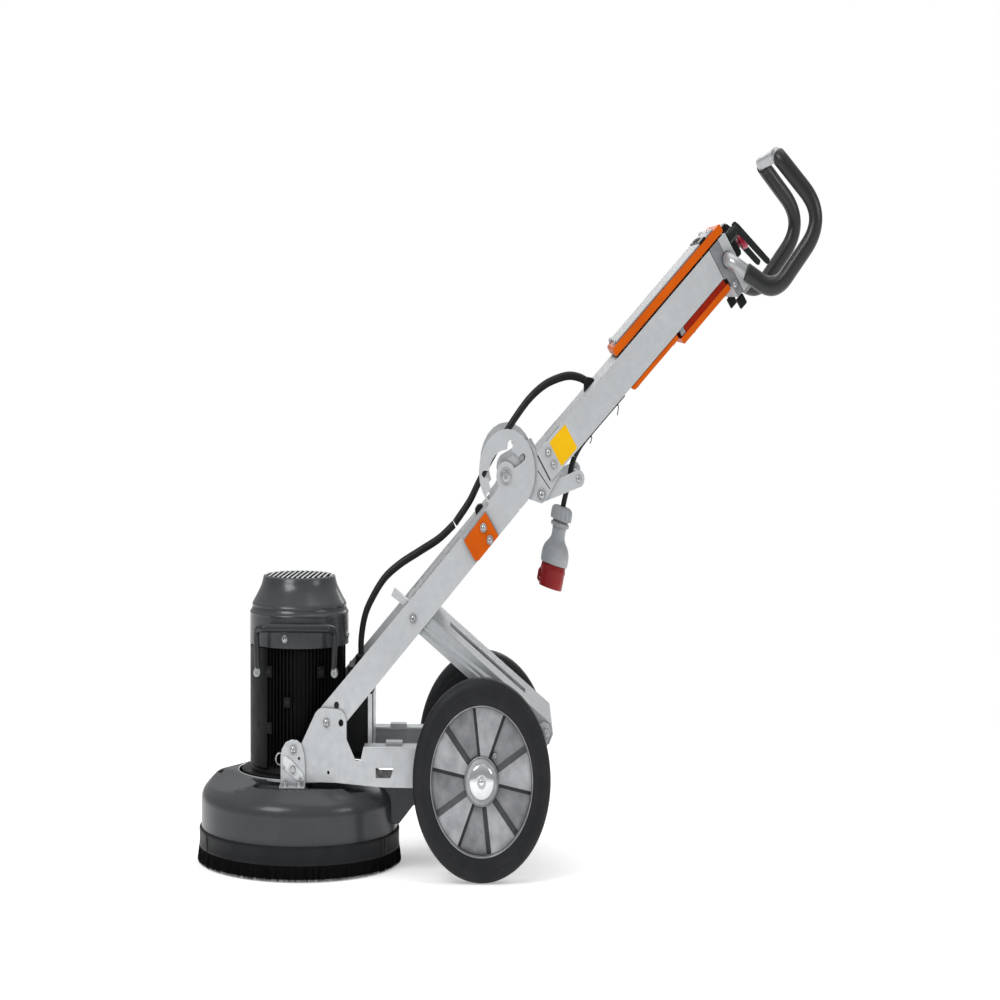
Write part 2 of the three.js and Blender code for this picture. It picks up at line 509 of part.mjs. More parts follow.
// ----------------------------------------------------------------- upper arm
{
  const u0 = -80, u1 = 432, h = 55.5;
  const wall = [A2(u0, 0), A2(u1, 0), A2(u1, h), A2(u0, h)];
  const holes = [ring([155.4, 663.6], 5, 6), ring([168.3, 644.8], 5, 6)];
  const walls = SIDES.map(([, s]) => outward(plate(wall, ...yy(s, ARM_IN, ARM_OUT), holes)));
  let web = outward(plate(rect(A2, u0, u1, h - 3, h), -153, 153));
  web = cut(web,
    outward(plate(rect(A2, -52, -14, h - 10, h + 10), -146, -108)), outward(plate(rect(A2, -52, -14, h - 10, h + 10), 108, 146)),
    outward(plate(rect(A2, 180, 420, h - 10, h + 10), -110, 110)));
  const lips = SIDES.map(([, s]) => outward(plate(rect(A2, 10, u1, 0, 3), ...yy(s, 132, 152))));
  put('upper_arm', join(walls[0], walls[1], web, lips[0], lips[1]), 'galv');
}
{
  const pin = [FOLD[0] + PIN_R * Math.cos(rad(PIN_ANG)), FOLD[1] + PIN_R * Math.sin(rad(PIN_ANG))];
  const prof = hull([...ring(FOLD, 23, 16), ...ring(pin, 10.5, 10), ...ring(LEVER_P, 14, 8), A2(-18, 6), A2(-18, 49), A2(-78, 50)]);
  const holes = [ring(FOLD, 9.2, 12), ring(LEVER_P, 6.6, 10), ring([155.4, 663.6], 4, 6), ring([168.3, 644.8], 4, 6),
    ring([FOLD[0] + PIN_R * Math.cos(rad(PIN_ANG)), FOLD[1] + PIN_R * Math.sin(rad(PIN_ANG))], 5.4, 10)];
  const walls = SIDES.map(([, s]) => outward(plate(prof, ...yy(s, FORK_IN, FORK_OUT), holes)));
  const web = outward(plate(rect(A2, -62, -22, 18, 21), -149, 149));
  // the cheeks are cropped where they enter the arm, below its top web
  put('fork_bracket', cut(join(walls[0], walls[1], web), outward(plate(rect(A2, -80.8, 60, 52, 150), -160, 160))), 'galv');
}
{
  const cx = FOLD[0] + PIN_R * Math.cos(rad(PIN_ANG)), cz = FOLD[1] + PIN_R * Math.sin(rad(PIN_ANG));
  put('lock_pin', join(cylY(cx, cz, 4.9, -153.1, -124, 10), cylY(cx, cz, 8, -136, -129, 8)), 'steel');
}
{
  const prof = hull([...ring(LEVER_P, 13, 12), ...ring(LEVER_E, 14, 12)]);
  const walls = SIDES.map(([, s]) => outward(plate(prof, ...yy(s, 142.6, 146.2))));
  const pins = SIDES.map(([, s]) => cylY(LEVER_P[0], LEVER_P[1], 6, ...(s < 0 ? [-152, -143] : [143, 152]), 10));
  put('lock_lever', join(walls[0], walls[1], ...pins, cylY(LEVER_E[0], LEVER_E[1], 4, -144, 144, 8)), 'galv');
}
put('top_cover', cut(outward(plate([A2(158, 60), A2(160, 59), A2(475, 59), A2(477, 61), A2(477, 72), A2(475, 74), A2(161, 74), A2(158, 71)], -153, 153)),
  outward(plate(rect(A2, 162, 473, 50, 71), -149.5, 149.5))), 'orange');
put('bottom_cover', outward(plate([A2(158, -5), A2(163, -9.3), A2(292, -9.3), A2(292, -0.4), A2(158, -0.4)], -152, 152)), 'orange');
put('control_box', join(
  outward(plate([A2(296, -22), A2(298, -24), A2(434, -24), A2(436, -22), A2(436, -12), A2(296, -12)], -152, 152)),
  outward(plate(rect(A2, 312, 431.6, -12.5, -0.4), -147, 147)),
  outward(plate(rect(A2, 330, 425, -1, 44), -100, 100))), 'orange');
{
  const u0 = 432.4, us = BAR_U - 0.3;
  let b = M(outward(plate([A2(u0, -2), A2(u0 + 6, -4), A2(u0 + 10, -44), A2(us, -44), A2(us, 56), A2(u0, 56)], -152, 152)));
  b = b.subtract(M(outward(plate(rect(A2, u0 - 10, u0 + 12, -1, 53), -146, 146))));
  b = b.subtract(M(cylY(BAR_X, BAR_Z, BAR_R + 0.7, -160, 160, 16)));
  for (const y of [-105, 105]) b = b.subtract(M(cylU(A2, ARM2_ANG, 440, 462, 41, y, 5, 8)));
  put('clamp_base', G(b), 'alu');
  let c = M(outward(plate([A2(BAR_U + 0.3, -44), A2(BAR_U + 15, -44), A2(BAR_U + 20, -20), A2(BAR_U + 20, 54), A2(BAR_U + 18, 56), A2(BAR_U + 0.3, 56)], -152, 152)));
  c = c.subtract(M(cylY(BAR_X, BAR_Z, BAR_R + 0.7, -160, 160, 16)));
  for (const y of [-105, 105]) c = c.subtract(M(cylU(A2, ARM2_ANG, 450, 490, 41, y, 5, 8)));
  put('clamp_cap', G(c), 'alu');
}
{
  let h = M(outward(plate([A2(478.5, -1), A2(498, -1), A2(501, 3), A2(501, 40), A2(497, 62), A2(478.5, 62)], -42, 42)));
  h = h.subtract(M(cylU(A2, ARM2_ANG, 484, 510, 15, 0, 8.9, 12)));
  put('estop_housing', G(h), 'black');
  put('estop_button', join(cylU(A2, ARM2_ANG, 491, 511, 15, 0, 8, 10), cylU(A2, ARM2_ANG, 510, 517, 15, 0, 17, 14), cylU(A2, ARM2_ANG, 516.5, 525, 15, 0, 19.5, 14)), 'red');
}
for (const [side, s] of SIDES) {
  const prof = [A2(503, 53), A2(513, 51), A2(540, -40), A2(541, -47), A2(531, -49), A2(528, -40), A2(507, 30), A2(503, 32)];
  put(`clamp_lever_${side}`, join(
    cylU(A2, ARM2_ANG, 478.6, 512, 41, s * 105, 10.5, 12),
    cylU(A2, ARM2_ANG, 446, 480, 41, s * 105, 4, 8),
    outward(plate(prof, s * 105 - 6, s * 105 + 6))), 'black');
}

// ----------------------------------------------------------------- handlebar
{
  const C = [[BAR_X, 0, BAR_Z], [BAR_X, -188, BAR_Z], [684, -198, 911], [804, -209, 1028], [690, -182, 1126.4]];
  const half = C.slice(1);
  const full = [...half.slice().reverse().map((p) => p.slice()), ...half.map((p) => [p[0], -p[1], p[2]])];
  // start and finish in the middle of the top cross tube
  const pts = [[690, 0, 1126.4], ...full, [690, 0, 1126.4]];
  const radii = [0, 28, 62, 55, 30, 30, 55, 62, 28, 0];
  const p = filletPath(pts, radii);
  const steps = 40;
  // the loop is closed: build each half of it and join them
  const bar = M(sweep(p, BAR_R, steps, 8));
  const outer = M(sweep(p, GRIP_R, steps, 8));
  const inner = M(sweep(p, BAR_R + 0.4, steps, 8));
  put('handlebar', G(bar.subtract(M(box(670, 710, 0, 0.02, 1100, 1150)))), 'galv');
  const tube = outer.subtract(inner);
  for (const [side, s] of SIDES) {
    const b = s < 0 ? box(615, 900, -260, -158, 800, 1200) : box(615, 900, 158, 260, 800, 1200);
    put(`grip_${side}`, G(tube.intersect(M(b))), 'rubber');
  }
}

// -------------------------------------------------------------------- cables
put('motor_cable_lower', sweep(spline([[-292, 0, 323], [-291, 0, 362], [-281, 0, 399], [-264, 0, 425], [-235, 0, 456], [-199, 0, 478], [-151, 0, 499], [-103, 0, 520], [-67.8, 0, 542.4]]), 7, 14, 6), 'rubber');
put('motor_cable_upper', sweep(spline([[-66, 0, 544], [-30, 0, 580], [-11, 0, 606], [18, 0, 644], [54.5, 0, 686], [79, 0, 712], [115, 0, 744], [151, 0, 765], [187, 0, 776], [211.5, 0, 779], [236, 0, 775.5], [251, 0, 770]]), 7, 20, 6), 'rubber');
put('supply_cable', sweep(spline([[346, 0, 744], [300, 0, 708], [262, 0, 678], [235, 0, 661], [223.5, 0, 652]]), 6, 8, 6), 'rubber');
{
  const top = [193.5, 571], bot = [162.8, 441];
  const dx = bot[0] - top[0], dz = bot[1] - top[1], L = Math.hypot(dx, dz);
  const tilt = Math.atan2(dx, dz);
  const along = (prof, n) => {
    const g = rev(prof, n, 0, 0);
    g.rotateY(tilt);
    g.translate(top[0], 0, top[1]);
    return g;
  };
  const drop = sweep(spline([[221.5, 0, 649.5], [214, 0, 634], [206, 0, 606], [197, 0, 580], [192, 0, 562]]), 6, 6, 6);
  put('plug_body', join(drop, along([[0, 0], [23, 0], [25, 5], [25, 22], [17, 30], [16, 50], [29, 68], [33, 82], [32, 95], [0, 95]], 16)), 'plug');
  put('plug_front', along([[0, 95.3], [28.8, 95.3], [28.6, 118], [27.6, L], [23, L], [23, 103], [0, 103]], 16), 'red');
}

export default group;
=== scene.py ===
# Looks of the walk-behind floor grinder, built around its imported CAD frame.
import json
import math
import random

import bmesh
import bpy
from mathutils import Euler, Matrix, Vector

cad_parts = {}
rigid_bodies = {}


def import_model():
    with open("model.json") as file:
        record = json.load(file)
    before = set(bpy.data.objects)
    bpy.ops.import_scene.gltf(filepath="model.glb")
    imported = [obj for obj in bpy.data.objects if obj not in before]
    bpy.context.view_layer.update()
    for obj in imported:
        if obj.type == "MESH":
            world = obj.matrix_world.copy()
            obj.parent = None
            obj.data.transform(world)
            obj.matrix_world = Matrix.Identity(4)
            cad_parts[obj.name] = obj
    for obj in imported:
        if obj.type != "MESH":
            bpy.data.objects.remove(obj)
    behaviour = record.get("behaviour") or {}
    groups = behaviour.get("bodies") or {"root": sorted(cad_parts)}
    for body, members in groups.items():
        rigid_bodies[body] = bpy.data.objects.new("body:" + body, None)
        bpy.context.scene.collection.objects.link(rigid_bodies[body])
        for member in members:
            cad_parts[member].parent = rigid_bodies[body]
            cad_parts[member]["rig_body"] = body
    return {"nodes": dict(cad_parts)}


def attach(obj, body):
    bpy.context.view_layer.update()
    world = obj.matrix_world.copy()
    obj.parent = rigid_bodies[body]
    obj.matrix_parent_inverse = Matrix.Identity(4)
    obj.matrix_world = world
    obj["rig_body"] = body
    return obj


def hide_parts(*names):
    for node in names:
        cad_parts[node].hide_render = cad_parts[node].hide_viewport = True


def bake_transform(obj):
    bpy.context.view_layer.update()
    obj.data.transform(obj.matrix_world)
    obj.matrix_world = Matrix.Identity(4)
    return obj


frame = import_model()
S = bpy.context.scene
COL = S.collection
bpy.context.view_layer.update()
rng = random.Random(11)
SX = -58.04          # mm, axle frame to part frame


def P(x, y, z):
    return Vector(((x + SX) / 1000.0, y / 1000.0, z / 1000.0))


def fr(o, deg):
    c, s = math.cos(math.radians(deg)), math.sin(math.radians(deg))
    return lambda u, w: (o[0] + u * c - w * s, o[1] + u * s + w * c)


A1 = fr((-137.7, 391.35), 39.4)
A2 = fr((226, 668), 37.8)
S1 = fr((0, 0), -30.8)
HX = -441


# ------------------------------------------------------------------ materials
def lin(c):
    return tuple((v / 255 / 12.92) if v / 255 <= 0.04045 else ((v / 255 + 0.055) / 1.055) ** 2.4 for v in c)


class N:
    def __init__(self, name):
        self.m = bpy.data.materials.new(name)
        self.m.use_nodes = True
        self.t = self.m.node_tree
        self.b = self.t.nodes["Principled BSDF"]
        self.o = self.t.nodes["Material Output"]
        tc = self.t.nodes.new("ShaderNodeTexCoord")
        self.co = tc.outputs["Object"]

    def node(self, kind, **kw):
        n = self.t.nodes.new(kind)
        for k, v in kw.items():
            if k in n.inputs:
                self.set(n.inputs[k], v)
            else:
                setattr(n, k, v)
        return n

    def set(self, inp, v):
        if isinstance(v, bpy.types.NodeSocket):
            self.t.links.new(v, inp)
        else:
            inp.default_value = v

    def noise(self, scale, detail=3, rough=0.5, vec=None):
        return self.node("ShaderNodeTexNoise", Scale=scale, Detail=detail, Roughness=rough, Vector=vec or self.co).outputs["Fac"]

    def stretch(self, sx, sy, sz, rot=(0, 0, 0)):
        n = self.node("ShaderNodeMapping", Vector=self.co)
        n.inputs["Scale"].default_value = (sx, sy, sz)
        n.inputs["Rotation"].default_value = rot
        return n.outputs["Vector"]

    def ramp(self, fac, stops):
        n = self.node("ShaderNodeValToRGB")
        self.t.links.new(fac, n.inputs["Fac"])
        e = n.color_ramp.elements
        while len(e) < len(stops):
            e.new(0.5)
        for i, (p, c) in enumerate(stops):
            e[i].position = p
            e[i].color = (*c, 1) if len(c) == 3 else c
        return n.outputs["Color"]

    def rng(self, fac, a, b, lo=0.3, hi=0.7):
        n = self.node("ShaderNodeMapRange", Value=fac)
        n.inputs["From Min"].default_value = lo
        n.inputs["From Max"].default_value = hi
        n.inputs["To Min"].default_value = a
        n.inputs["To Max"].default_value = b
        return n.outputs["Result"]

    def mixc(self, fac, a, b, mode="MIX"):
        n = self.t.nodes.new("ShaderNodeMix")
        n.data_type = "RGBA"
        n.blend_type = mode
        self.set(n.inputs[0], fac)
        for i, v in ((6, a), (7, b)):
            self.set(n.inputs[i], v if isinstance(v, bpy.types.NodeSocket) else (*v, 1))
        return n.outputs[2]

    def bump(self, height, strength, dist=0.0004, normal=None):
        n = self.node("ShaderNodeBump", Strength=strength, Distance=dist, Height=height)
        if normal is not None:
            self.t.links.new(normal, n.inputs["Normal"])
        return n.outputs["Normal"]

    # painted shade: ambient occlusion darkens the base colour in creases, recesses and where parts meet
    def ao(self, col, dist=0.012, dark=0.45, samples=5):
        a = self.node("ShaderNodeAmbientOcclusion", samples=samples, Distance=dist)
        f = self.rng(a.outputs["AO"], 0, 1, 0.35, 0.95)
        d = self.mixc(1.0, col, (dark, dark, dark), "MULTIPLY")
        return self.mixc(f, d, col)

    def done(self, **kw):
        for k, v in kw.items():
            self.set(self.b.inputs[k], v)
        return self.m


def simple(name, c0, c1, rough, metal=0.0, scale=18, fine=900, bump=0.15, dist=0.0002, coat=0.0, spec=0.5, streak=None, ao=True):
    n = N(name)
    a = n.noise(scale, 4, 0.6)
    b = n.noise(fine, 2, 0.6)
    col = n.mixc(n.rng(a, 0, 1), lin(c0), lin(c1))
    if streak:
        s = n.noise(streak[0], 3, 0.6, n.stretch(*streak[1]))
        col = n.mixc(n.rng(s, 0, streak[2]), col, (0, 0, 0))
    # unless ao is False, the base colour carries painted shade from ambient occlusion
    return n.done(**{"Base Color": n.ao(col, 0.010, 0.5, 4) if ao else col, "Metallic": metal, "Roughness": n.rng(a, rough[0], rough[1]),
                     "Normal": n.bump(b, bump, dist), "Coat Weight": coat, "Coat Roughness": 0.12, "Specular IOR Level": spec})


def galv(name, base=(196, 199, 201), metal=0.72, rough=(0.34, 0.5)):
    n = N(name)
    v = n.node("ShaderNodeTexVoronoi", Scale=95.0, Vector=n.co)
    cell = n.node("ShaderNodeSeparateColor", Color=v.outputs["Color"]).outputs[0]
    big = n.noise(7, 3, 0.55)
    mid = n.noise(60, 5, 0.65)
    fine = n.noise(1400, 2, 0.5)
    c = n.mixc(n.rng(cell, 0.0, 0.16, 0, 1), lin(base), lin(tuple(v * 0.80 for v in base)))
    c = n.mixc(n.rng(mid, 0.0, 0.35), c, lin(tuple(min(255, v * 1.10) for v in base)))
    c = n.mixc(n.rng(big, 0.0, 0.30), c, lin(tuple(v * 0.86 for v in base)))
    r = n.rng(cell, rough[0], rough[1], 0, 1)
    # the base colour carries painted shade from ambient occlusion
    return n.done(**{"Base Color": n.ao(c), "Metallic": metal, "Roughness": r, "Normal": n.bump(fine, 0.05, 0.0001),
                     "Specular IOR Level": 0.4})


M = {
    "galv": galv("galvanised_sheet"),
    "galv_bright": galv("galvanised_sheet_bright", (214, 217, 219), 0.62, (0.3, 0.42)),
    "steel": simple("zinc_steel", (198, 200, 202), (166, 168, 170), (0.2, 0.34), 0.92, 40, 700, 0.08),
    "chrome": simple("polished_cap", (226, 227, 228), (205, 206, 208), (0.08, 0.15), 1.0, 25, 500, 0.02),
    "alu": simple("cast_aluminium", (186, 188, 190), (150, 152, 155), (0.36, 0.5), 0.6, 28, 420, 0.35, 0.0005),
    "rim": simple("painted_rim", (178, 179, 182), (138, 139, 142), (0.34, 0.5), 0.6, 26, 380, 0.3, 0.0005),
    # painted shade: the recessed sectors of the rim get a darker copy of the rim colour, and the sloping walls a
    # near-black one
    "rim_recess_painted_shade": simple("rim_recess_painted_shade", (146, 147, 150), (110, 111, 114), (0.36, 0.52), 0.6, 26, 380, 0.3, 0.0005),
    # painted shade: a darker copy of the galvanised sheet for the rear strut, standing for its shaded face
    "galv_painted_shade": galv("galvanised_sheet_painted_shade", (176, 180, 182), 0.7, (0.3, 0.45)),
    "rim_painted_shade_wall": simple("rim_wall_painted_shade", (68, 69, 72), (54, 55, 58), (0.42, 0.55), 0.45, 26, 380, 0.3, 0.0005),
    "shell": simple("powder_grey_shell", (60, 62, 65), (52, 54, 57), (0.22, 0.3), 0.0, 9, 1100, 0.14, 0.00012, 0.06, 0.32),
    "cowl": simple("powder_grey_cowl", (58, 60, 63), (49, 51, 54), (0.2, 0.28), 0.0, 12, 1000, 0.16, 0.00014, 0.12, 0.4),
    "motor": simple("cast_black", (22, 23, 24), (15, 16, 17), (0.4, 0.54), 0.0, 30, 500, 0.4, 0.0005, 0.0, 0.16),
    "plastic": simple("black_plastic", (22, 23, 25), (15, 16, 17), (0.36, 0.5), 0.0, 60, 1500, 0.3, 0.0002, 0.0, 0.25),
    "band": simple("rubber_band", (30, 31, 33), (22, 23, 25), (0.42, 0.6), 0.0, 20, 700, 0.3, 0.0004, 0.0, 0.16),
    "bristle": simple("bristle_black", (16, 16, 17), (8, 8, 9), (0.8, 0.95), 0.0, 300, 2000, 0.5, 0.0005, 0.0, 0.05),
    "tyre": simple("tyre_rubber", (33, 34, 36), (26, 27, 29), (0.46, 0.6), 0.0, 22, 520, 0.35, 0.0005, 0.0, 0.22),
    "cable": simple("cable_rubber", (27, 27, 29), (19, 19, 20), (0.4, 0.55), 0.0, 40, 900, 0.3, 0.0003, 0.0, 0.28),
    "grip": simple("grip_foam", (26, 27, 28), (18, 19, 20), (0.26, 0.36), 0.0, 45, 1300, 0.5, 0.0003, 0.0, 0.5),
    "orange": simple("orange_powder_coat", (204, 90, 6), (190, 79, 4), (0.34, 0.46), 0.0, 14, 1000, 0.2, 0.00016, 0.0, 0.1),
    # painted shade: darker, redder copy of the orange for the control box's recessed body
    "orange_painted_shade": simple("orange_recess_painted_shade", (190, 42, 4), (160, 32, 2), (0.4, 0.55), 0.0, 14, 1000, 0.25, 0.0002, 0.0, 0.15),
    "red": simple("red_plastic", (150, 16, 22), (130, 12, 16), (0.3, 0.42), 0.0, 30, 900, 0.15, 0.0002, 0.0, 0.3),
    "magenta": simple("stop_button_red", (190, 22, 62), (160, 14, 44), (0.25, 0.35), 0.0, 30, 900, 0.1, 0.0002, 0.2, 0.5),
    "plug": simple("plug_grey_plastic", (164, 168, 171), (146, 150, 153), (0.34, 0.46), 0.0, 30, 1000, 0.2, 0.0002, 0.0, 0.45),
    "lever": simple("lever_nylon", (28, 33, 34), (20, 24, 24), (0.34, 0.46), 0.0, 60, 1200, 0.25, 0.0002, 0.0, 0.3),
    "yellow": simple("yellow_label", (230, 180, 8), (222, 170, 6), (0.45, 0.55), 0.0, 14, 900, 0.05, 0.0001, 0.0, 0.15),
    # painted highlight: near-white colour for the grille ribs on the dark cowl, standing for the light they catch on
    # top
    "rib": simple("grille_rib_painted_highlight", (214, 216, 218), (196, 198, 200), (0.3, 0.4), 0.0, 12, 1000, 0.1, 0.0002, 0.0, 0.5),
    "panel": simple("panel_sheet", (188, 190, 192), (180, 182, 184), (0.5, 0.6), 0.0, 9, 700, 0.02, 0.0001, 0.0, 0.15),
    "tube": simple("zinc_tube", (178, 180, 182), (160, 162, 164), (0.3, 0.4), 0.75, 20, 900, 0.04, 0.0001),
    "handle": simple("handle_grey", (40, 41, 43), (33, 34, 36), (0.26, 0.36), 0.0, 12, 1000, 0.2, 0.0002, 0.06, 0.34),
    "clamp": simple("clamp_casting", (150, 152, 155), (118, 120, 124), (0.34, 0.48), 0.6, 28, 420, 0.35, 0.0005),
    "iron": simple("cast_iron", (82, 83, 86), (60, 61, 63), (0.48, 0.62), 0.45, 40, 420, 0.5, 0.0006),
    "gear": simple("gear_steel", (150, 152, 156), (118, 120, 124), (0.26, 0.38), 0.9, 60, 600, 0.15),
    "copper": simple("winding_copper", (178, 98, 54), (126, 62, 34), (0.3, 0.42), 0.85, 120, 700, 0.5, 0.0006),
    # painted shadow: near-black material for discs and strips that stand for the shade inside holes and gaps
    "hole": simple("deep_shadow", (14, 14, 15), (8, 8, 9), (0.7, 0.9), 0.0, 60, 600, 0.2),
    "diamond": simple("diamond_segment", (128, 116, 92), (74, 72, 68), (0.6, 0.8), 0.35, 320, 1200, 0.9, 0.0008),
}


# ------------------------------------------------------------------ mesh kit
def obj_from(name, bm, mat, body=None, sharp=32, mats=None):
    bmesh.ops.recalc_face_normals(bm, faces=bm.faces[:])
    lim = math.radians(sharp)
    for f in bm.faces:
        f.smooth = True
    for e in bm.edges:
        if len(e.link_faces) == 2 and e.calc_face_angle(0) > lim:
            e.smooth = False
    me = bpy.data.meshes.new(name)
    bm.to_mesh(me)
    bm.free()
    o = bpy.data.objects.new(name, me)
    COL.objects.link(o)
    for m in (mats or [mat]):
        me.materials.append(M[m])
    if body:
        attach(o, body)
    return o


def lathe(prof, n=128, cx=HX, cy=0, axis="Z", closed=True, a0=0.0, bm=None, sign=1, cz=160):
    """prof: (r, h) mm. axis Z about (cx, cy); axis Y about (cx, cz) with h as sign*|y|."""
    own = bm is None
    bm = bm or bmesh.new()
    rings = []
    for r, h in prof:
        row = []
        for i in range(n):
            a = a0 + 2 * math.pi * i / n
            if axis == "Z":
                row.append(bm.verts.new(P(cx + r * math.cos(a), cy + r * math.sin(a), h)) if r > 1e-6 or i == 0 else row[0])
            else:
                row.append(bm.verts.new(P(cx + r * math.cos(a), sign * h, cz + r * math.sin(a))) if r > 1e-6 or i == 0 else row[0])
        rings.append(row)
    m = len(rings)
    for k in range(m if closed else m - 1):
        A, B = rings[k], rings[(k + 1) % m]
        for i in range(n):
            j = (i + 1) % n
            vs = []
            for v in (A[i], A[j], B[j], B[i]):
                if v not in vs:
                    vs.append(v)
            if len(vs) > 2:
                try:
                    bm.faces.new(vs)
                except ValueError:
                    pass
    return bm


def prism(bm, poly, y0, y1):
    """poly in x,z mm, extruded in y."""
    a = [bm.verts.new(P(x, y0, z)) for x, z in poly]
    b = [bm.verts.new(P(x, y1, z)) for x, z in poly]
    bm.faces.new(a)
    bm.faces.new(b[::-1])
    for i in range(len(poly)):
        j = (i + 1) % len(poly)
        bm.faces.new((a[j], a[i], b[i], b[j]))
    return bm


def boxm(bm, x0, x1, y0, y1, z0, z1):
    return prism(bm, [(x0, z0), (x1, z0), (x1, z1), (x0, z1)], y0, y1)


def disc_stack(bm, c, ax, prof, n=24, ref=None, square=None):
    """revolve (r, h) mm profile about an axis through c (mm, axle frame) along ax."""
    c = Vector(c)
    ax = Vector(ax).normalized()
    t = Vector(ref) if ref else (Vector((0, 0, 1)) if abs(ax.z) < 0.9 else Vector((1, 0, 0)))
    u = (t - ax * t.dot(ax)).normalized()
    v = ax.cross(u)
    rings = []
    for r, h in prof:
        if r < 1e-6:
            p = c + ax * h
            rings.append([bm.verts.new(P(*p))])
        else:
            row = []
            for i in range(n):
                a = 2 * math.pi * i / n
                p = c + ax * h + (u * math.cos(a) + v * math.sin(a)) * r
                row.append(bm.verts.new(P(*p)))
            rings.append(row)
    for A, B in zip(rings, rings[1:]):
        if len(A) == 1 and len(B) == 1:
            continue
        for i in range(n):
            j = (i + 1) % n
            if len(A) == 1:
                bm.faces.new((A[0], B[i], B[j]))
            elif len(B) == 1:
                bm.faces.new((A[i], A[j], B[0]))
            else:
                bm.faces.new((A[i], A[j], B[j], B[i]))
    return bm


def bolt(bm, c, ax, af=13.0, h=7.0, washer=12.0, kind="hex"):
    """bolt head with washer; c is the point on the surface."""
    if washer:
        disc_stack(bm, c, ax, [(0, 0), (washer, 0), (washer, 1.4), (washer - 0.5, 1.9), (0, 1.9)], 28)
    base = 1.9 if washer else 0.0
    if kind == "hex":
        r = af / math.sqrt(3)
        disc_stack(bm, c, ax, [(0, base), (r, base), (r, base + h * 0.78), (r * 0.9, base + h), (r * 0.5, base + h), (r * 0.45, base + h - 0.7), (0, base + h - 0.7)], 6)
    elif kind == "dome":
        r = af / 2
        disc_stack(bm, c, ax, [(0, base), (r, base), (r, base + h * 0.25), (r * 0.92, base + h * 0.6), (r * 0.7, base + h * 0.88), (r * 0.36, base + h), (r * 0.34, base + h * 0.6), (0, base + h * 0.6)], 24)
    else:
        r = af / 2
        disc_stack(bm, c, ax, [(0, base), (r, base), (r, base + h * 0.85), (r * 0.93, base + h), (r * 0.55, base + h), (r * 0.55, base + h * 0.45), (0, base + h * 0.45)], 24)


def tube_pts(bm, pts, r, n=16, closed=False, caps=True, r_of=None):
    """pts: list of Vector mm."""
    m = len(pts)
    tang = []
    for i in range(m):
        a = pts[(i - 1) % m] if closed or i > 0 else pts[i]
        b = pts[(i + 1) % m] if closed or i < m - 1 else pts[i]
        tang.append((b - a).normalized())
    u = Vector((0, 1, 0))
    if abs(tang[0].dot(u)) > 0.9:
        u = Vector((0, 0, 1))
    rings = []
    for i in range(m):
        t = tang[i]
        u = (u - t * u.dot(t)).normalized()
        v = t.cross(u)
        rr = r_of(i) if r_of else r
        rings.append([bm.verts.new(P(*(pts[i] + (u * math.cos(2 * math.pi * k / n) + v * math.sin(2 * math.pi * k / n)) * rr))) for k in range(n)])
    for i in range(m if closed else m - 1):
        A, B = rings[i], rings[(i + 1) % m]
        off = 0
        if closed and i == m - 1:
            off = min(range(n), key=lambda s: (A[0].co - B[s].co).length)
        for k in range(n):
            bm.faces.new((A[k], A[(k + 1) % n], B[(k + 1 + off) % n], B[(k + off) % n]))
    if caps and not closed:
        bm.faces.new(rings[0][::-1])
        bm.faces.new(rings[-1])
    return bm


def spline(pts, k=8):
    """centripetal-like Catmull-Rom through pts."""
    q = [Vector(p) for p in pts]
    q = [q[0] * 2 - q[1]] + q + [q[-1] * 2 - q[-2]]
    out = []
    for i in range(1, len(q) - 2):
        p0, p1, p2, p3 = q[i - 1:i + 3]
        t0 = 0.0
        t1 = t0 + (p1 - p0).length ** 0.5
        t2 = t1 + (p2 - p1).length ** 0.5
        t3 = t2 + (p3 - p2).length ** 0.5
        for s in range(k):
            t = t1 + (t2 - t1) * s / k
            a1 = p0 * ((t1 - t) / (t1 - t0)) + p1 * ((t - t0) / (t1 - t0))
            a2 = p1 * ((t2 - t) / (t2 - t1)) + p2 * ((t - t1) / (t2 - t1))
            a3 = p2 * ((t3 - t) / (t3 - t2)) + p3 * ((t - t2) / (t3 - t2))
            b1 = a1 * ((t2 - t) / (t2 - t0)) + a2 * ((t - t0) / (t2 - t0))
            b2 = a2 * ((t3 - t) / (t3 - t1)) + a3 * ((t - t1) / (t3 - t1))
            out.append(b1 * ((t2 - t) / (t2 - t1)) + b2 * ((t - t1) / (t2 - t1)))
    out.append(q[-2])
    return out


def fillet(pts, radii, k=10, seg=14):
    q = [Vector(p) for p in pts]
    out = []
    cur = q[0]
    for i in range(1, len(q) - 1):
        a = (q[i - 1] - q[i]).normalized()
        b = (q[i + 1] - q[i]).normalized()
        half = math.acos(max(-1, min(1, a.dot(b)))) / 2
        d = radii[i] / math.tan(half)
        s, e = q[i] + a * d, q[i] + b * d
        for j in range(k):
            out.append(cur.lerp(s, j / k))
        for j in range(seg):
            t = j / seg
            out.append(s * (1 - t) ** 2 + q[i] * 2 * t * (1 - t) + e * t * t)
        cur = e
    for j in range(k + 1):
        out.append(cur.lerp(q[-1], j / k))
    return out


def bevel_mod(o, w=0.5, seg=2, ang=32):
    m = o.modifiers.new("edge_round", "BEVEL")
    m.width = w / 1000
    m.segments = seg
    m.limit_method = "ANGLE"
    m.angle_limit = math.radians(ang)
    m.harden_normals = False
    m.miter_outer = "MITER_ARC"
    wn = o.modifiers.new("flat_faces", "WEIGHTED_NORMAL")
    wn.weight = 100
    wn.keep_sharp = True
    return o


def bake(o):
    """apply all modifiers of o."""
    dg = bpy.context.evaluated_depsgraph_get()
    me = bpy.data.meshes.new_from_object(o.evaluated_get(dg))
    o.modifiers.clear()
    o.data = me
    return o


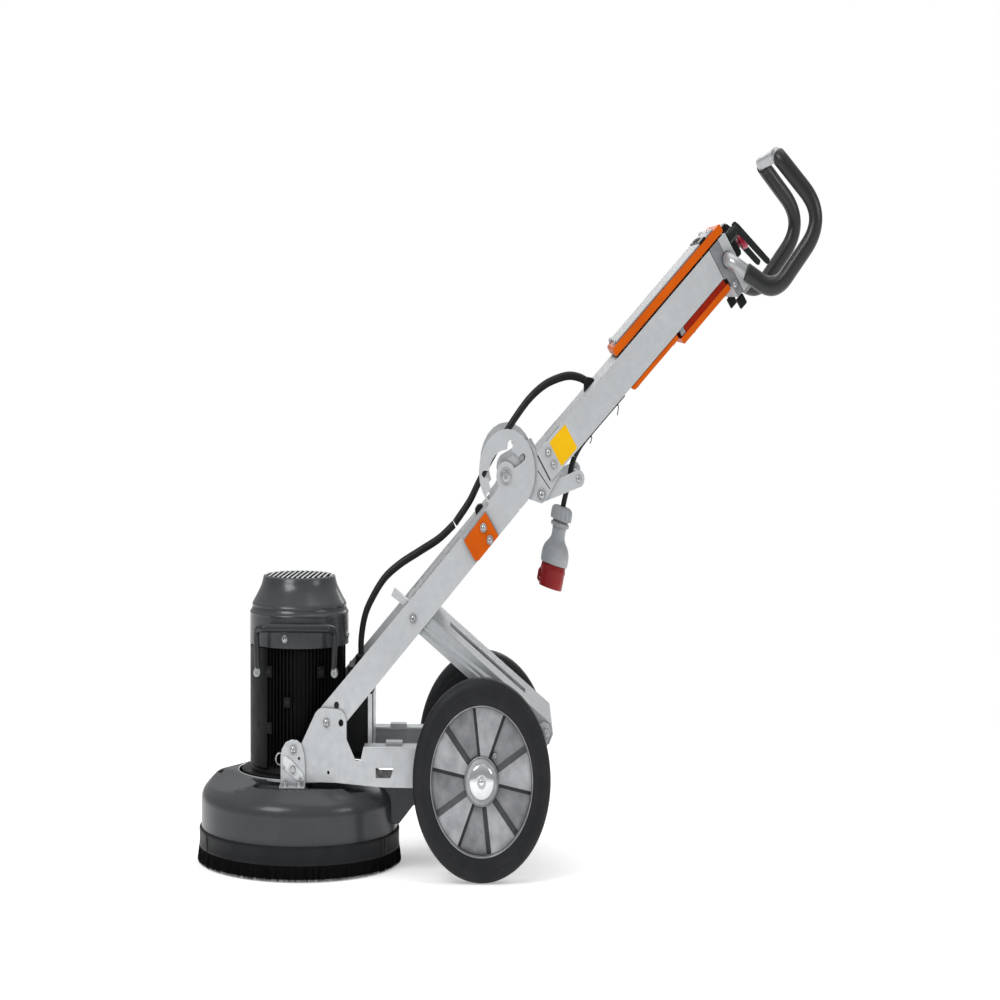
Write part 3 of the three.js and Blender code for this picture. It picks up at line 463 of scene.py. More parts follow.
def boolean(o, tool, op="DIFFERENCE"):
    m = o.modifiers.new("b", "BOOLEAN")
    m.object = tool
    m.operation = op
    m.solver = "EXACT"
    bpy.context.view_layer.update()
    bake(o)
    bpy.data.objects.remove(tool)
    return o


def resharp(o, sharp=32):
    bm = bmesh.new()
    bm.from_mesh(o.data)
    bmesh.ops.remove_doubles(bm, verts=bm.verts[:], dist=2e-6)
    lim = math.radians(sharp)
    for f in bm.faces:
        f.smooth = True
    for e in bm.edges:
        e.smooth = not (len(e.link_faces) == 2 and e.calc_face_angle(0) > lim)
    bm.to_mesh(o.data)
    bm.free()
    return o


def from_cad(node, mat, w=0.45, seg=2, wide=None, wide_w=2.6, mats=None, pick=None):
    """a refined copy of a CAD node's own surface: welded, degenerate geometry dissolved, edges rounded."""
    src = frame["nodes"][node]
    bm = bmesh.new()
    bm.from_mesh(src.data)
    for f in bm.faces:
        f.material_index = 0
    bmesh.ops.remove_doubles(bm, verts=bm.verts[:], dist=4e-6)
    bmesh.ops.dissolve_degenerate(bm, dist=1e-6, edges=bm.edges[:])
    if wide:
        es = [e for e in bm.edges if wide(*[Vector((v.co.x * 1000 - SX, v.co.y * 1000, v.co.z * 1000)) for v in e.verts])
              and len(e.link_faces) == 2 and e.calc_face_angle(0) > 0.5]
        if es:
            bmesh.ops.bevel(bm, geom=es, offset=wide_w / 1000, segments=4, profile=0.5, affect="EDGES", clamp_overlap=True)
    if pick:
        for f in bm.faces:
            c = f.calc_center_median()
            f.material_index = pick(Vector((c.x * 1000 - SX, c.y * 1000, c.z * 1000)), f.normal)
    body = src["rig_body"]
    o = obj_from(node + "_look", bm, mat, None, 32, mats)
    if w:
        bevel_mod(o, w, seg)
    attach(o, body)
    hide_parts(node)
    return o


def stand(o, *nodes, slot=None):
    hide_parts(*nodes)
    return o

SIDES = (("left", -1), ("right", 1))


def yrange(s, a, b):
    return (-b, -a) if s < 0 else (a, b)


# ------------------------------------------------------------------ sheet metal
def near(v, t, e=0.35):
    return abs(v - t) < e


def arm_top(f, w, yout, a, b):
    """edge lies on the outer top corner line of a folded channel."""
    for p in (a, b):
        x, z = f(0, w)
        dx, dz = p.x - x, p.z - z
        ux, uz = f(1, w)
        n = (-(uz - z), ux - x)
        if abs(dx * n[0] + dz * n[1]) > 0.3 or not near(abs(p.y), yout):
            return False
    return (a - b).length > 8


for side, s in SIDES:
    from_cad("side_plate_" + side, "galv", 0.4, 2,
             wide=lambda a, b: all(near(abs(p.y), 157, 0.2) and near(p.z, 203, 0.3) and -278 < p.x < 71 for p in (a, b)), wide_w=2.9)
    from_cad("fold_disc_" + side, "galv", 0.4)
    from_cad("arm_block_" + side, "orange", 0.7)
    from_cad("pivot_bracket_" + side, "galv", 0.5)
    from_cad("release_pin_" + side, "steel", 0.4)
from_cad("lower_arm", "galv", 0.4, wide=lambda a, b: arm_top(A1, 50.5, 153.2, a, b), wide_w=2.9)
# the rear strut gets the darker galvanised copy as painted shade
from_cad("rear_strut", "galv_painted_shade", 0.4, wide=lambda a, b: arm_top(S1, 289, 149.9, a, b), wide_w=2.9)
from_cad("upper_arm", "galv", 0.4, wide=lambda a, b: arm_top(A2, 55.5, 153.2, a, b), wide_w=2.9)
from_cad("fork_bracket", "galv", 0.4)
from_cad("lock_lever", "galv", 0.4)
from_cad("lock_pin", "steel", 0.4)
from_cad("fold_pivot_pin", "steel", 0.8)
from_cad("axle", "steel", 0.8)
from_cad("top_cover", "orange", 1.6, 3)
from_cad("bottom_cover", "orange", 0.9, 3)


def box_pick(c, nrm):
    # painted shade: the recessed body of the control box gets a darker, redder copy of the orange, its lip keeps the
    # plain orange
    x0, z0 = A2(0, -12.2)
    ux, uz = A2(1, -12.2)
    d = (c.x - x0) * -(uz - z0) + (c.z - z0) * (ux - x0)
    return 1 if d > 0 else 0


from_cad("control_box", None, 0.9, 3, mats=["orange", "orange_painted_shade"], pick=box_pick)
from_cad("clamp_base", "clamp", 0.9, 3)
from_cad("clamp_cap", "galv", 0.9, 3)
from_cad("estop_housing", "plastic", 1.2, 3)
from_cad("terminal_box", "motor", 1.6, 3)
for node, m in (("stator", "copper"), ("rotor_shaft", "gear"), ("lower_bearing", "gear"), ("upper_bearing", "gear"), ("cooling_fan", "plastic"),
                ("ring_gear", "gear"), ("planet_carrier", "iron"), ("carrier_bearing", "gear")):
    from_cad(node, m, 0.4, 2)
for k in (1, 2, 3):
    from_cad("planet_spindle_%d" % k, "gear", 0.4, 2)

# tool discs: plate with diamond segments
for k in (1, 2, 3):
    a = math.radians(120 * (k - 1))
    x, y = HX + 135 * math.cos(a), 135 * math.sin(a)
    bm = lathe([(0, 16.2), (88.2, 16.2), (89, 17), (89, 30), (88.2, 30.8), (0, 30.8)], 96, x, y, closed=False)
    o = obj_from("tool_plate_%d" % k, bm, "iron")
    seg = bmesh.new()
    for j in range(3):
        b = math.radians(120 * j + 30)
        c, sn = math.cos(b), math.sin(b)
        for (r0, r1, w, z0, z1) in ((50, 82, 14, 3.2, 16.1), (53, 64.6, 12, 0.05, 3.3), (67.4, 79, 12, 0.05, 3.3)):
            vs = []
            for z in (z0, z1):
                for (r, t) in ((r0, -w), (r1, -w), (r1, w), (r0, w)):
                    vs.append(seg.verts.new(P(x + r * c - t * sn, y + r * sn + t * c, z)))
            seg.faces.new(vs[3::-1])
            seg.faces.new(vs[4:])
            for i in range(4):
                seg.faces.new((vs[i], vs[(i + 1) % 4], vs[4 + (i + 1) % 4], vs[4 + i]))
    so = obj_from("tool_segments_%d" % k, seg, "diamond")
    bevel_mod(so, 0.6, 2)
    bevel_mod(o, 0.3, 1, 50)
    for q in (o, so):
        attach(q, "tool_%d" % k)
    stand(o, "tool_disc_%d" % k, slot="iron")

# ------------------------------------------------------------------ wheels
for side, s in SIDES:
    prof = [(119.2, 197.5), (122, 196.2), (130, 195.8), (134.2, 195.9), (135.4, 195.2), (136.6, 195.2), (137.8, 196), (146, 196.4), (151.5, 198), (155.4, 201),
            (158.2, 205), (159.6, 209.5), (160, 214), (160, 226), (159.6, 231), (158.4, 235.4), (156, 238.8), (152.6, 241.6), (148.2, 243.6),
            (143, 244.6), (138.6, 244.7), (137.4, 245.7), (135.6, 245.8), (134.4, 244.8), (128, 244.7), (123, 244.2), (120.6, 243.4), (119.2, 242.6)]
    bm = lathe(prof, 160, 0, 0, "Y", True, sign=s)
    o = obj_from("tyre_rubber_" + side, bm, "tyre", "wheel_" + side, 28)
    stand(o, "tyre_" + side, slot="tyre_rubber")

    # rim front: ten sectors, alternately raised and recessed, joined by sloping walls of even width
    W0 = 26.6
    rads = [119, 118.4, 118, 117.5, 116.9, 116.3, 115.8, 114.9, 108, 96, 84, 72, 60, 50, 41.6, 40.4, 39.4, 38.6, 37.4, 36.6, 35.8, 35, 34, 30, 26.4]

    def depth(r, k):
        # k: 0 raised, 1 recessed, and in between on a wall
        if r >= 118.9:
            return 242.4
        if r >= 117.4:
            return 243.5
        if r >= 116.7:
            return 242.6
        if r >= 116.2:
            return 239.0
        if r >= 115.4:
            return 236.4 - 2.5 * k
        if r >= 41:
            return 235.8 - 8.0 * k
        if r >= 40:
            return 236.0 - 6.0 * k
        if r >= 38.4:
            return 236.6
        if r >= 37:
            return 237.6
        if r >= 36.2:
            return 239.4
        if r >= 34.8:
            return 242.6
        return 243.3

    bm = bmesh.new()
    rows = []
    thick = (0, 3, 5, 7, 8)
    for r in rads:
        row = []
        for k10 in range(10):
            h = math.degrees(math.asin(min(0.22, (5.4 if k10 in thick else 3.4) / max(r, 30))))
            h2 = math.degrees(math.asin(min(0.22, (5.4 if (k10 + 1) % 10 in thick else 3.4) / max(r, 30))))
            w = W0 + 36 * k10
            rec_before = 1 if k10 % 2 == 1 else 0       # sector clockwise of this wall
            rec_after = 1 - rec_before
            spots = [(-h, rec_before), (-h * 0.86, rec_before + (rec_after - rec_before) * 0.06), (0, 0.5), (h * 0.86, rec_after + (rec_before - rec_after) * 0.06), (h, rec_after)]
            spots += [(h + (36 - h - h2) * j / 8, rec_after) for j in range(1, 8)]
            for da, kk in spots:
                aa = math.radians(w + da)
                row.append(bm.verts.new(P(r * math.cos(aa), s * depth(r, kk), 160 + r * math.sin(aa))))
        rows.append(row)
    angs = [math.degrees(math.atan2(v.co.z * 1000 - 160, v.co.x * 1000 - SX)) for v in rows[0]]
    na = len(angs)
    for A, B in zip(rows, rows[1:]):
        for i in range(na):
            j = (i + 1) % na
            bm.faces.new((A[i], A[j], B[j], B[i]))
    # outer skirt and back of the casting
    back = [(119, 197), (109.5, 197), (108.5, 206), (26, 206), (26, 196), (10.6, 196)]
    n = na
    prev = rows[0]
    for r, h in back:
        row = [bm.verts.new(P(r * math.cos(math.radians(a)), s * h, 160 + r * math.sin(math.radians(a)))) for a in angs]
        for i in range(n):
            j = (i + 1) % n
            bm.faces.new((prev[i], prev[j], row[j], row[i]))
        prev = row
    row = rows[-1]
    inner = [bm.verts.new(P(10.6 * math.cos(math.radians(a)), s * 243.4, 160 + 10.6 * math.sin(math.radians(a)))) for a in angs]
    for i in range(n):
        j = (i + 1) % n
        bm.faces.new((row[i], row[j], inner[j], inner[i]))
        bm.faces.new((inner[i], inner[j], prev[j], prev[i]))
    o = obj_from("rim_casting_" + side, bm, None, None, 30, ["rim", "rim_painted_shade_wall", "rim_recess_painted_shade"])
    # painted shade: wall faces take the near-black rim copy, recessed sector faces the darker copy
    for p in o.data.polygons:
        c = p.center
        r = math.hypot(c.x * 1000 - SX, c.z * 1000 - 160)
        if 39.5 < r < 115.3 and abs(p.normal.y) < 0.86 and abs(c.y) > 0.222:
            p.material_index = 1
        elif 41.5 < r < 115.3 and 0.222 < abs(c.y) < 0.2310:
            p.material_index = 2
    bevel_mod(o, 0.7, 2, 34)
    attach(o, "wheel_" + side)
    stand(o, "rim_" + side, slot="cast_alu")
    # the pressed hub cap and one flat boss on the rim web
    bm = bmesh.new()
    disc_stack(bm, (0, s * 243.2, 160), (0, s, 0), [(0, -1), (27.9, -1), (27.9, 0.3), (26.8, 1.4), (25.2, 2.3), (22.6, 3.3), (18.6, 4.5), (13.6, 5.4), (7.6, 6.0), (6.4, 5.6), (5.9, 5.6), (5.7, 6.8), (4.6, 7.8), (2.6, 8.4), (0, 8.6)], 96)
    cap = obj_from("hub_cap_" + side, bm, "chrome", "wheel_" + side, 40)
    bm = bmesh.new()
    for a in (53.0,):
        c, sn = math.cos(math.radians(a)), math.sin(math.radians(a))
        disc_stack(bm, (50 * c, s * 228, 160 + 50 * sn), (0, s, 0), [(0, 0), (4.2, 0), (4.2, 5.2), (3.4, 6), (1.6, 6), (1.5, 2), (0, 2)], 20)
    vb = obj_from("rim_boss_" + side, bm, "alu", "wheel_" + side)

# ------------------------------------------------------------------ shroud
prof = [(0, 146), (150, 146), (182, 146), (188, 145.4), (193.5, 143.4), (201, 139.2), (212, 131.6), (221, 124.8), (227.4, 119.2), (231.6, 114.2), (234.3, 109), (235.6, 103.6), (236, 98),
        (236, 60), (236.4, 57), (236.4, 41), (235.8, 40), (233, 40), (233, 98), (231.6, 107), (228, 114), (222, 119.5), (210, 128.5), (196, 138), (189, 141.6), (182, 143), (0, 143)]
bm = lathe(prof, 180, closed=False)
shroud = obj_from("shroud_shell", bm, None, None, 30, ["shell"])
duct = bmesh.new()
prism(duct, [(-330, 138), (-120, 138), (-112, 135), (-107, 129), (-106, 124), (-106, 104), (-110, 100.5), (-163, 100), (-198, 69.4), (-330, 69.4)], -72, 72)
d = obj_from("duct_tool", duct, None, None, 30, ["shell"])
bevel_mod(d, 5, 4)
bake(d)
inner = bmesh.new()
prism(inner, [(-332, 135), (-112, 135), (-109, 127), (-109, 106), (-112, 103.4), (-164.4, 103), (-199.4, 72.4), (-332, 72.4)], -69, 69)
di = obj_from("duct_inner", inner, None, None, 30, ["shell"])
cyl = bmesh.new()
lathe([(0, 50), (232.9, 50), (232.9, 98), (231.5, 107), (222, 119.4), (196, 137.9), (182, 142.9), (0, 142.9)], 180, bm=cyl, closed=False)
ci = obj_from("bowl_tool", cyl, None, None, 30, ["shell"])
boolean(shroud, d, "UNION")
boolean(shroud, di)
boolean(shroud, ci)
for s in (-1, 1):
    t = bmesh.new()
    y0, y1 = yrange(s, 132, 260)
    prism(t, [(-606, 146.6), (-520, 138.3), (-411, 138.3), (-200, 137.6), (-200, 210), (-606, 210)], y0, y1)
    to = obj_from("pocket_tool", t, None, None, 30, ["shell"])
    boolean(shroud, to)
    t = bmesh.new()
    prism(t, [(-411, 130), (-200, 130), (-200, 210), (-411, 210)], *yrange(s, 132, 167))
    to = obj_from("pocket_tool_deep", t, None, None, 30, ["shell"])
    boolean(shroud, to)
# the deck falls away to the front on each side in one flat facet
for s in (-1, 1):
    A_, B_, C_ = Vector((-643, -s * 29, 146.05)), Vector((-542, s * 140, 146.05)), Vector((-536, s * 200, 137.6))
    nn_ = (B_ - A_).cross(C_ - B_).normalized()
    if nn_.z < 0:
        nn_ = -nn_
    e1 = (B_ - A_).normalized()
    e2 = nn_.cross(e1)
    if e2.y * s < 0:
        e2 = -e2
    t = bmesh.new()
    vs = []
    for hgt in (0, 60):
        for (p1, p2) in ((-120, 0), ((B_ - A_).length + 30, 0), ((B_ - A_).length + 30, 160), (-120, 160)):
            vs.append(t.verts.new(P(*(A_ + e1 * p1 + e2 * p2 + nn_ * hgt))))
    t.faces.new(vs[:4])
    t.faces.new(vs[4:])
    for i in range(4):
        t.faces.new((vs[i], vs[(i + 1) % 4], vs[4 + (i + 1) % 4], vs[4 + i]))
    to = obj_from("facet_tool", t, None, None, 30, ["shell"])
    t = bmesh.new()
    vs = []
    for hgt in (-3.2, 4):
        for (p1, p2) in ((-120, -6), ((B_ - A_).length + 30, -6), ((B_ - A_).length + 30, 160), (-120, 160)):
            vs.append(t.verts.new(P(*(A_ + e1 * p1 + e2 * p2 + nn_ * hgt))))
    t.faces.new(vs[:4])
    t.faces.new(vs[4:])
    for i in range(4):
        t.faces.new((vs[i], vs[(i + 1) % 4], vs[4 + (i + 1) % 4], vs[4 + i]))
    fl = obj_from("facet_floor", t, None, None, 30, ["shell"])
    t = bmesh.new()
    lathe([(0, 90), (235.4, 90), (235.4, 98), (235, 103.6), (233.8, 108.8), (231, 114), (226.9, 118.9), (220.6, 124.4), (211.6, 131.2), (200.6, 138.9), (193.2, 143.1), (187.8, 145.1), (182, 145.7), (0, 145.7)], 180, bm=t, closed=False)
    bowl = obj_from("facet_bowl", t, None, None, 30, ["shell"])
    boolean(fl, bowl, "INTERSECT")
    boolean(shroud, fl, "UNION")
    boolean(shroud, to)
op = bmesh.new()
lathe([(0, 130), (146, 130), (146, 160), (0, 160)], 128, bm=op, closed=False)
oo = obj_from("opening_tool", op, None, None, 30, ["shell"])
boolean(shroud, oo)
shroud.data.materials.clear()
shroud.data.materials.append(M["shell"])
for p in shroud.data.polygons:
    p.material_index = 0
resharp(shroud, 30)
bevel_mod(shroud, 1.1, 3, 34)
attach(shroud, "head")
stand(shroud, "shroud", slot="shell_grey")
# floor pans closing the pockets, folded from the same sheet
clipc = bmesh.new()
lathe([(0, 100), (230, 100), (230, 113), (221, 122), (206, 133), (192, 141), (184, 143.5), (0, 143.5)], 120, bm=clipc, closed=False)
cc = obj_from("pan_clip", clipc, "shell")
for side, s in (("left", -1), ("right", 1)):
    for i, (x0, x1, ya, yb, z0, z1) in enumerate(((-560, -409, 129, 219, 135.3, 138.2), (-411, -200, 129, 169.4, 127, 129.9), (-411, -200, 167, 219, 134.8, 137.5),
                                                  (-411, -200, 167, 169.4, 126, 137.4), (-558, -200, 129, 131.9, 120, 143), (-412, -409.4, 129, 169.4, 127, 138.1))):
        pan = bmesh.new()
        boxm(pan, x0, x1, *yrange(s, ya, yb), z0, z1)
        pan_o = obj_from("shroud_pocket_pan_%s_%d" % (side, i + 1), pan, "shell")
        md = pan_o.modifiers.new("clip", "BOOLEAN")
        md.operation, md.solver, md.object = "INTERSECT", "EXACT", cc
        bake(pan_o)
        resharp(pan_o)
        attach(pan_o, "head")
bpy.data.objects.remove(cc)
# folded light rim of the deck opening
bm = lathe([(145.6, 143.6), (147.6, 143.6), (147.6, 147.2), (146.6, 147.9), (145.4, 147.2)], 128)
rim = obj_from("deck_opening_lip", bm, "galv_bright", "head", 50)
# dust port
bm = bmesh.new()
disc_stack(bm, (-112, 0, 119.5), (1, 0, 0), [(15.4, 0), (17.4, 0), (17.4, 32), (18.4, 33), (18.4, 37), (17.8, 38), (15.8, 38), (15.4, 37), (15.4, 0)], 64)
port = obj_from("dust_port_collar", bm, "shell", "head")

bm = lathe([(236.6, 25), (240.6, 25), (241, 26), (240.8, 30), (240.4, 31), (240.4, 48), (241, 49.6), (241, 53), (240.2, 55), (236.6, 55)], 160)
band = obj_from("skirt_band_rubber", bm, "band", "skirt", 40)
stand(band, "skirt_band", slot="rubber")
bm = bmesh.new()
for a in (28, 31, 152, 208, 329, 332):
    c, sn = math.cos(math.radians(a)), math.sin(math.radians(a))
    vs = []
    for z in (26, 54):
        for r in (239.5, 241.9):
            for t in (-5, 5):
                vs.append(bm.verts.new(P(HX + r * c - t * sn, r * sn + t * c, z)))
    for q in ((0, 1, 3, 2), (4, 5, 7, 6), (0, 1, 5, 4), (2, 3, 7, 6), (0, 2, 6, 4), (1, 3, 7, 5)):
        bm.faces.new([vs[i] for i in q])
cl = obj_from("skirt_band_clips", bm, "band", "skirt")
bevel_mod(cl, 0.5)

# brush: dense core and free bristles
bm = lathe([(236.8, 24.6), (241.4, 24.6), (243.2, 12), (244.2, 4.5), (236.4, 4.5)], 160)
core = obj_from("brush_core", bm, "bristle", "skirt", 40)
stand(core, "brush_skirt", slot="bristle")
bm = bmesh.new()
for i in range(5200):
    a = rng.uniform(0, 2 * math.pi)
    layer = rng.random()
    r0 = 238 + 3.4 * layer
    r1 = 238.5 + 7.0 * layer + rng.uniform(-0.8, 0.6)
    da = rng.gauss(0, 0.006)
    zt, zb = 24.6, rng.choice((rng.uniform(0.3, 1.4), rng.uniform(0.6, 3.2)))
    w = rng.uniform(0.22, 0.4)
    pts = []
    for (r, aa, z, k) in ((r0, a, zt, 1.0), ((r0 * 0.45 + r1 * 0.55), a + da * 0.5, (zt + zb) / 2, 1.0), (r1, a + da, zb, 0.55)):
        c, sn = math.cos(aa), math.sin(aa)
        pts.append([bm.verts.new(P(HX + (r + dr) * c - t * sn, (r + dr) * sn + t * c, z)) for dr, t in ((w * k, 0), (-w * k * 0.6, w * k), (-w * k * 0.6, -w * k))])
    for A, B in zip(pts, pts[1:]):
        for q in range(3):
            bm.faces.new((A[q], A[(q + 1) % 3], B[(q + 1) % 3], B[q]))
br = obj_from("brush_bristles", bm, "bristle", "skirt", 60)

# ------------------------------------------------------------------ motor
def polar(r, d):
    # d degrees from -Y towards +X
    a = math.radians(d)
    return (HX + r * math.sin(a), -r * math.cos(a))


def slabm(bm, pts, z0, z1):
    a = [bm.verts.new(P(x, y, z0)) for x, y in pts]
    b = [bm.verts.new(P(x, y, z1)) for x, y in pts]
    bm.faces.new(a[::-1])
    bm.faces.new(b)
    for i in range(len(pts)):
        j = (i + 1) % len(pts)
        bm.faces.new((a[i], a[j], b[j], b[i]))


bm = lathe([(23, 130), (138, 130), (138, 149), (136.5, 150.5), (118, 150.5), (115, 152), (112, 160), (108, 166), (106, 172), (106, 346), (110, 351), (23, 351)], 128)
base = obj_from("motor_barrel", bm, "motor", "head", 30)
stand(base, "motor_housing", slot="motor_black")
bm = bmesh.new()
pads = ((-88, -37), (142, 175), (185, 218))
k = 0
d = -180.0
while d < 180:
    if not any(a - 1 < d < b + 1 for a, b in pads) and not (70 < d < 110):
        r1 = 117.6 if (k % 4) else 118.2
        h = 0.75
        def q(r, t):
            x, y = polar(r, d)
            a = math.radians(d)
            return (x + t * math.cos(a), y + t * math.sin(a))
        slabm(bm, [q(104.5, -1.5), q(104.5, 1.5), q(r1 - 0.8, h), q(r1, h * 0.5), q(r1, -h * 0.5), q(r1 - 0.8, -h)], 160 + (k % 2) * 1.5, 350.5)
    d += 4.5
    k += 1
fins = obj_from("motor_fins", bm, "motor", "head", 30)
bm = bmesh.new()
for a, b in pads:
    pts = [polar(104, b), polar(104, a)] if False else []
    nn = 14
    outer = [polar(118.2 if 0 < i < nn else 116.6, a + (b - a) * i / nn) for i in range(nn + 1)]
    inn = [polar(104, b - (b - a) * i / nn) for i in range(nn + 1)]
    slabm(bm, outer + inn, 158, 350.5)
pad = obj_from("motor_side_pads", bm, "motor", None, 24)
bevel_mod(pad, 1.2, 3, 40)
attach(pad, "head")
# square bosses with sunk screws, seen between the fins
# the screw holes in the bosses are near-black discs of painted shadow
bm, hm, sm = bmesh.new(), bmesh.new(), bmesh.new()
for d, z, w in ((-33, 314, 9), (-33, 224, 9), (30, 314, 9), (-9.5, 267, 8), (150, 314, 9), (150, 224, 9), (-150, 314, 9), (-150, 224, 9)):
    a = math.radians(d)
    x, y = polar(0, d)
    ax = Vector((math.sin(a), -math.cos(a), 0))
    tg = Vector((math.cos(a), math.sin(a), 0))
    vs = []
    for r in (104, 119.6):
        for (t, zz) in ((-w, z - w), (w, z - w), (w, z + w), (-w, z + w)):
            p = Vector((HX, 0, zz)) + ax * r + tg * t
            vs.append(bm.verts.new(P(*p)))
    bm.faces.new(vs[3::-1])
    bm.faces.new(vs[4:])
    for i in range(4):
        bm.faces.new((vs[i], vs[(i + 1) % 4], vs[4 + (i + 1) % 4], vs[4 + i]))
    c = Vector((HX, 0, z)) + ax * 119.6
    disc_stack(hm, c, ax, [(0, 0.05), (w * 0.52, 0.05), (w * 0.52, 0.12), (0, 0.12)], 24)
    disc_stack(bm, c, ax, [(w * 0.52, 0.0), (w * 0.72, 0.0), (w * 0.7, 0.9), (w * 0.56, 0.9), (w * 0.52, 0.0)], 24)
c = Vector((*polar(118.3, -52), 226))
a = math.radians(-52)
disc_stack(hm, c, (math.sin(a), -math.cos(a), 0), [(0, 0), (4.4, 0), (4.4, 0.25), (0, 0.25)], 24)
bo = obj_from("motor_bosses", bm, "motor", None, 30)
bevel_mod(bo, 0.7, 2)
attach(bo, "head")
ho = obj_from("motor_boss_holes", hm, "hole", "head")

# fan cowl
prof = [(0, 457), (70, 457), (82, 456.9), (85.6, 456.2), (87, 454.4), (88.6, 449), (91.4, 442.6), (96, 436), (101.2, 429.4), (106.2, 423.4), (110.4, 418.6), (112.6, 416),
        (113.6, 414), (113, 412), (113.4, 409.6), (115.2, 406.4), (117.4, 404), (118.6, 403), (119, 401.6), (118.3, 400), (118.3, 397), (118.6, 392), (118.8, 352), (118.2, 351.6),
        (116.4, 351.6), (116.4, 397), (114, 403), (110, 413), (103, 421), (95, 431), (88, 441), (85, 450), (83, 454), (70, 454.4), (0, 454.4)]
prof = [(r, z if z < 403 else 403 + (z - 403) * 1.062) for r, z in prof]
bm = lathe(prof, 144, closed=False)
cowl = obj_from("fan_cowl_shell", bm, None, None, 40, ["cowl"])
t = bmesh.new()
rot = math.radians(85.7)
for k in range(-6, 7):
    off = 12 * k
    half = math.sqrt(80 ** 2 - off ** 2)
    w = 3.7
    pts = []
    for i in range(9):
        b = -math.pi / 2 + math.pi * i / 8
        pts.append((half - w + w * math.cos(b), off + w * math.sin(b)))
    for i in range(9):
        b = math.pi / 2 + math.pi * i / 8
        pts.append((-half + w + w * math.cos(b), off + w * math.sin(b)))
    pts = [(HX + x * math.cos(rot) - y * math.sin(rot), x * math.sin(rot) + y * math.cos(rot)) for x, y in pts]
    slabm(t, pts, 448, 466)
to = obj_from("slot_tool", t, None, None, 30, ["cowl"])
boolean(cowl, to)
for p in cowl.data.polygons:
    p.material_index = 0
resharp(cowl, 35)
bevel_mod(cowl, 0.5, 2, 50)
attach(cowl, "head")
stand(cowl, "fan_cowl", slot="shell_grey")
# grille ribs in a near-white colour as painted highlight
bm = bmesh.new()
for k in range(-7, 7):
    off = 12.0 * k + 6
    half = math.sqrt(max(1.0, 80 ** 2 - off ** 2))
    cs_, sn_ = math.cos(rot), math.sin(rot)
    pts = [(HX + x * cs_ - y * sn_, x * sn_ + y * cs_) for x, y in ((-half, off - 2.2), (half, off - 2.2), (half, off + 2.2), (-half, off + 2.2))]
    slabm(bm, pts, 459.6, 461.6)
ri = obj_from("cowl_grille_ribs", bm, "rib", None)
bevel_mod(ri, 0.6, 2)
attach(ri, "head")
bm = bmesh.new()
for d in (-12.5, 77.5, 167.5, -102.5):
    a = math.radians(d)
    c = Vector((*polar(118.4, d), 367))
    bolt(bm, c, (math.sin(a), -math.cos(a), 0), 9.5, 4.2, 6.6, "dome")
so = obj_from("cowl_screws", bm, "steel", "head")

# lifting handle with its two bolts
path = fillet([(-531, -106, 308), (-535, -112, 382), (-517, -131, 385.5), (-365, -131, 385.5), (-347, -112, 382), (-351, -106, 308)], [0, 16, 12, 12, 16, 0], 6, 8)
bm = tube_pts(bmesh.new(), path, 6.9, 20)
lh = obj_from("lifting_handle_rod", bm, "handle", "head")
stand(lh, "lifting_handle", slot="motor_black")
bm = bmesh.new()
for x in (-533, -349):
    disc_stack(bm, (x, -108, 314), (0, -1, 0), [(0, -6), (9, -6), (9, 2.5), (8, 3.6), (0, 3.6)], 32)
eye = obj_from("lifting_handle_eyes", bm, "motor", "head")
bm = bmesh.new()
for x in (-533, -349):
    bolt(bm, (x, -111.6, 314), (0, -1, 0), 12, 5, 8.2, "socket")
lb = obj_from("lifting_handle_bolts", bm, "steel", "head")

# terminal box lid screws and cable gland
bm = bmesh.new()
for y in (-42, 42):
    for z in (186, 304):
        bolt(bm, (-264.1 + (2.1 if z < 300 else 0), y, z if z < 300 else 309), (1, 0, 0), 8, 3, 0, "dome")
ts = obj_from("terminal_box_screws", bm, "steel", "head")
bm = bmesh.new()
disc_stack(bm, (-292, 0, 316), (0, 0, 1), [(0, 0), (15, 0), (15, 6), (14, 7), (12.4, 7), (12.4, 9), (13.4, 9.6), (13.4, 14.4), (12, 16.6), (9.6, 18), (7.2, 18), (7.1, 10), (0, 10)], 12)
gl = obj_from("cable_gland", bm, "plastic", "head", 20)
# light cover plate on the operator side of the terminal box
bm = bmesh.new()
boxm(bm, -261.8, -259.6, -62, 62, 192, 276)
boxm(bm, -272, -259.6, -62, -60, 192, 276)
boxm(bm, -272, -259.6, 60, 62, 192, 276)
fp = obj_from("terminal_box_cover", bm, "galv_bright", "head")

# ------------------------------------------------------------------ handlebar
BX, BZ = A2(458, 17.6)
C = [(BX, -188, BZ), (684, -198, 911), (804, -209, 1028), (690, -182, 1126.4)]
pts = [(690, 0, 1126.4)] + C[::-1] + [(x, -y, z) for x, y, z in C] + [(690, 0, 1126.4)]
loop = fillet(pts, [0, 28, 62, 55, 30, 30, 55, 62, 28, 0], 26, 22)[:-1]
bm = tube_pts(bmesh.new(), loop, 12.5, 28, closed=True)
hb = obj_from("handlebar_tube", bm, "tube", "handlebar", 60)
stand(hb, "handlebar", slot="galvanised")
for side, s in SIDES:
    sel = [p for p in loop if p.x > 615.5 and s * p.y > 177]
    m = len(sel)
    bm = tube_pts(bmesh.new(), sel, 15.8, 28, r_of=lambda i: 15.8 - (1.6 if i in (0, m - 1) else 0.3 if i in (1, m - 2) else 0))
    g = obj_from("grip_sleeve_" + side, bm, "grip", "handlebar", 60)
    stand(g, "grip_" + side, slot="rubber")

# clamp levers, stop button, clamp fasteners
du = Vector((math.cos(math.radians(37.8)), 0, math.sin(math.radians(37.8))))
dw = Vector((-du.z, 0, du.x))


def A2p(u, y, w):
    x, z = A2(u, w)
    return Vector((x, y, z))


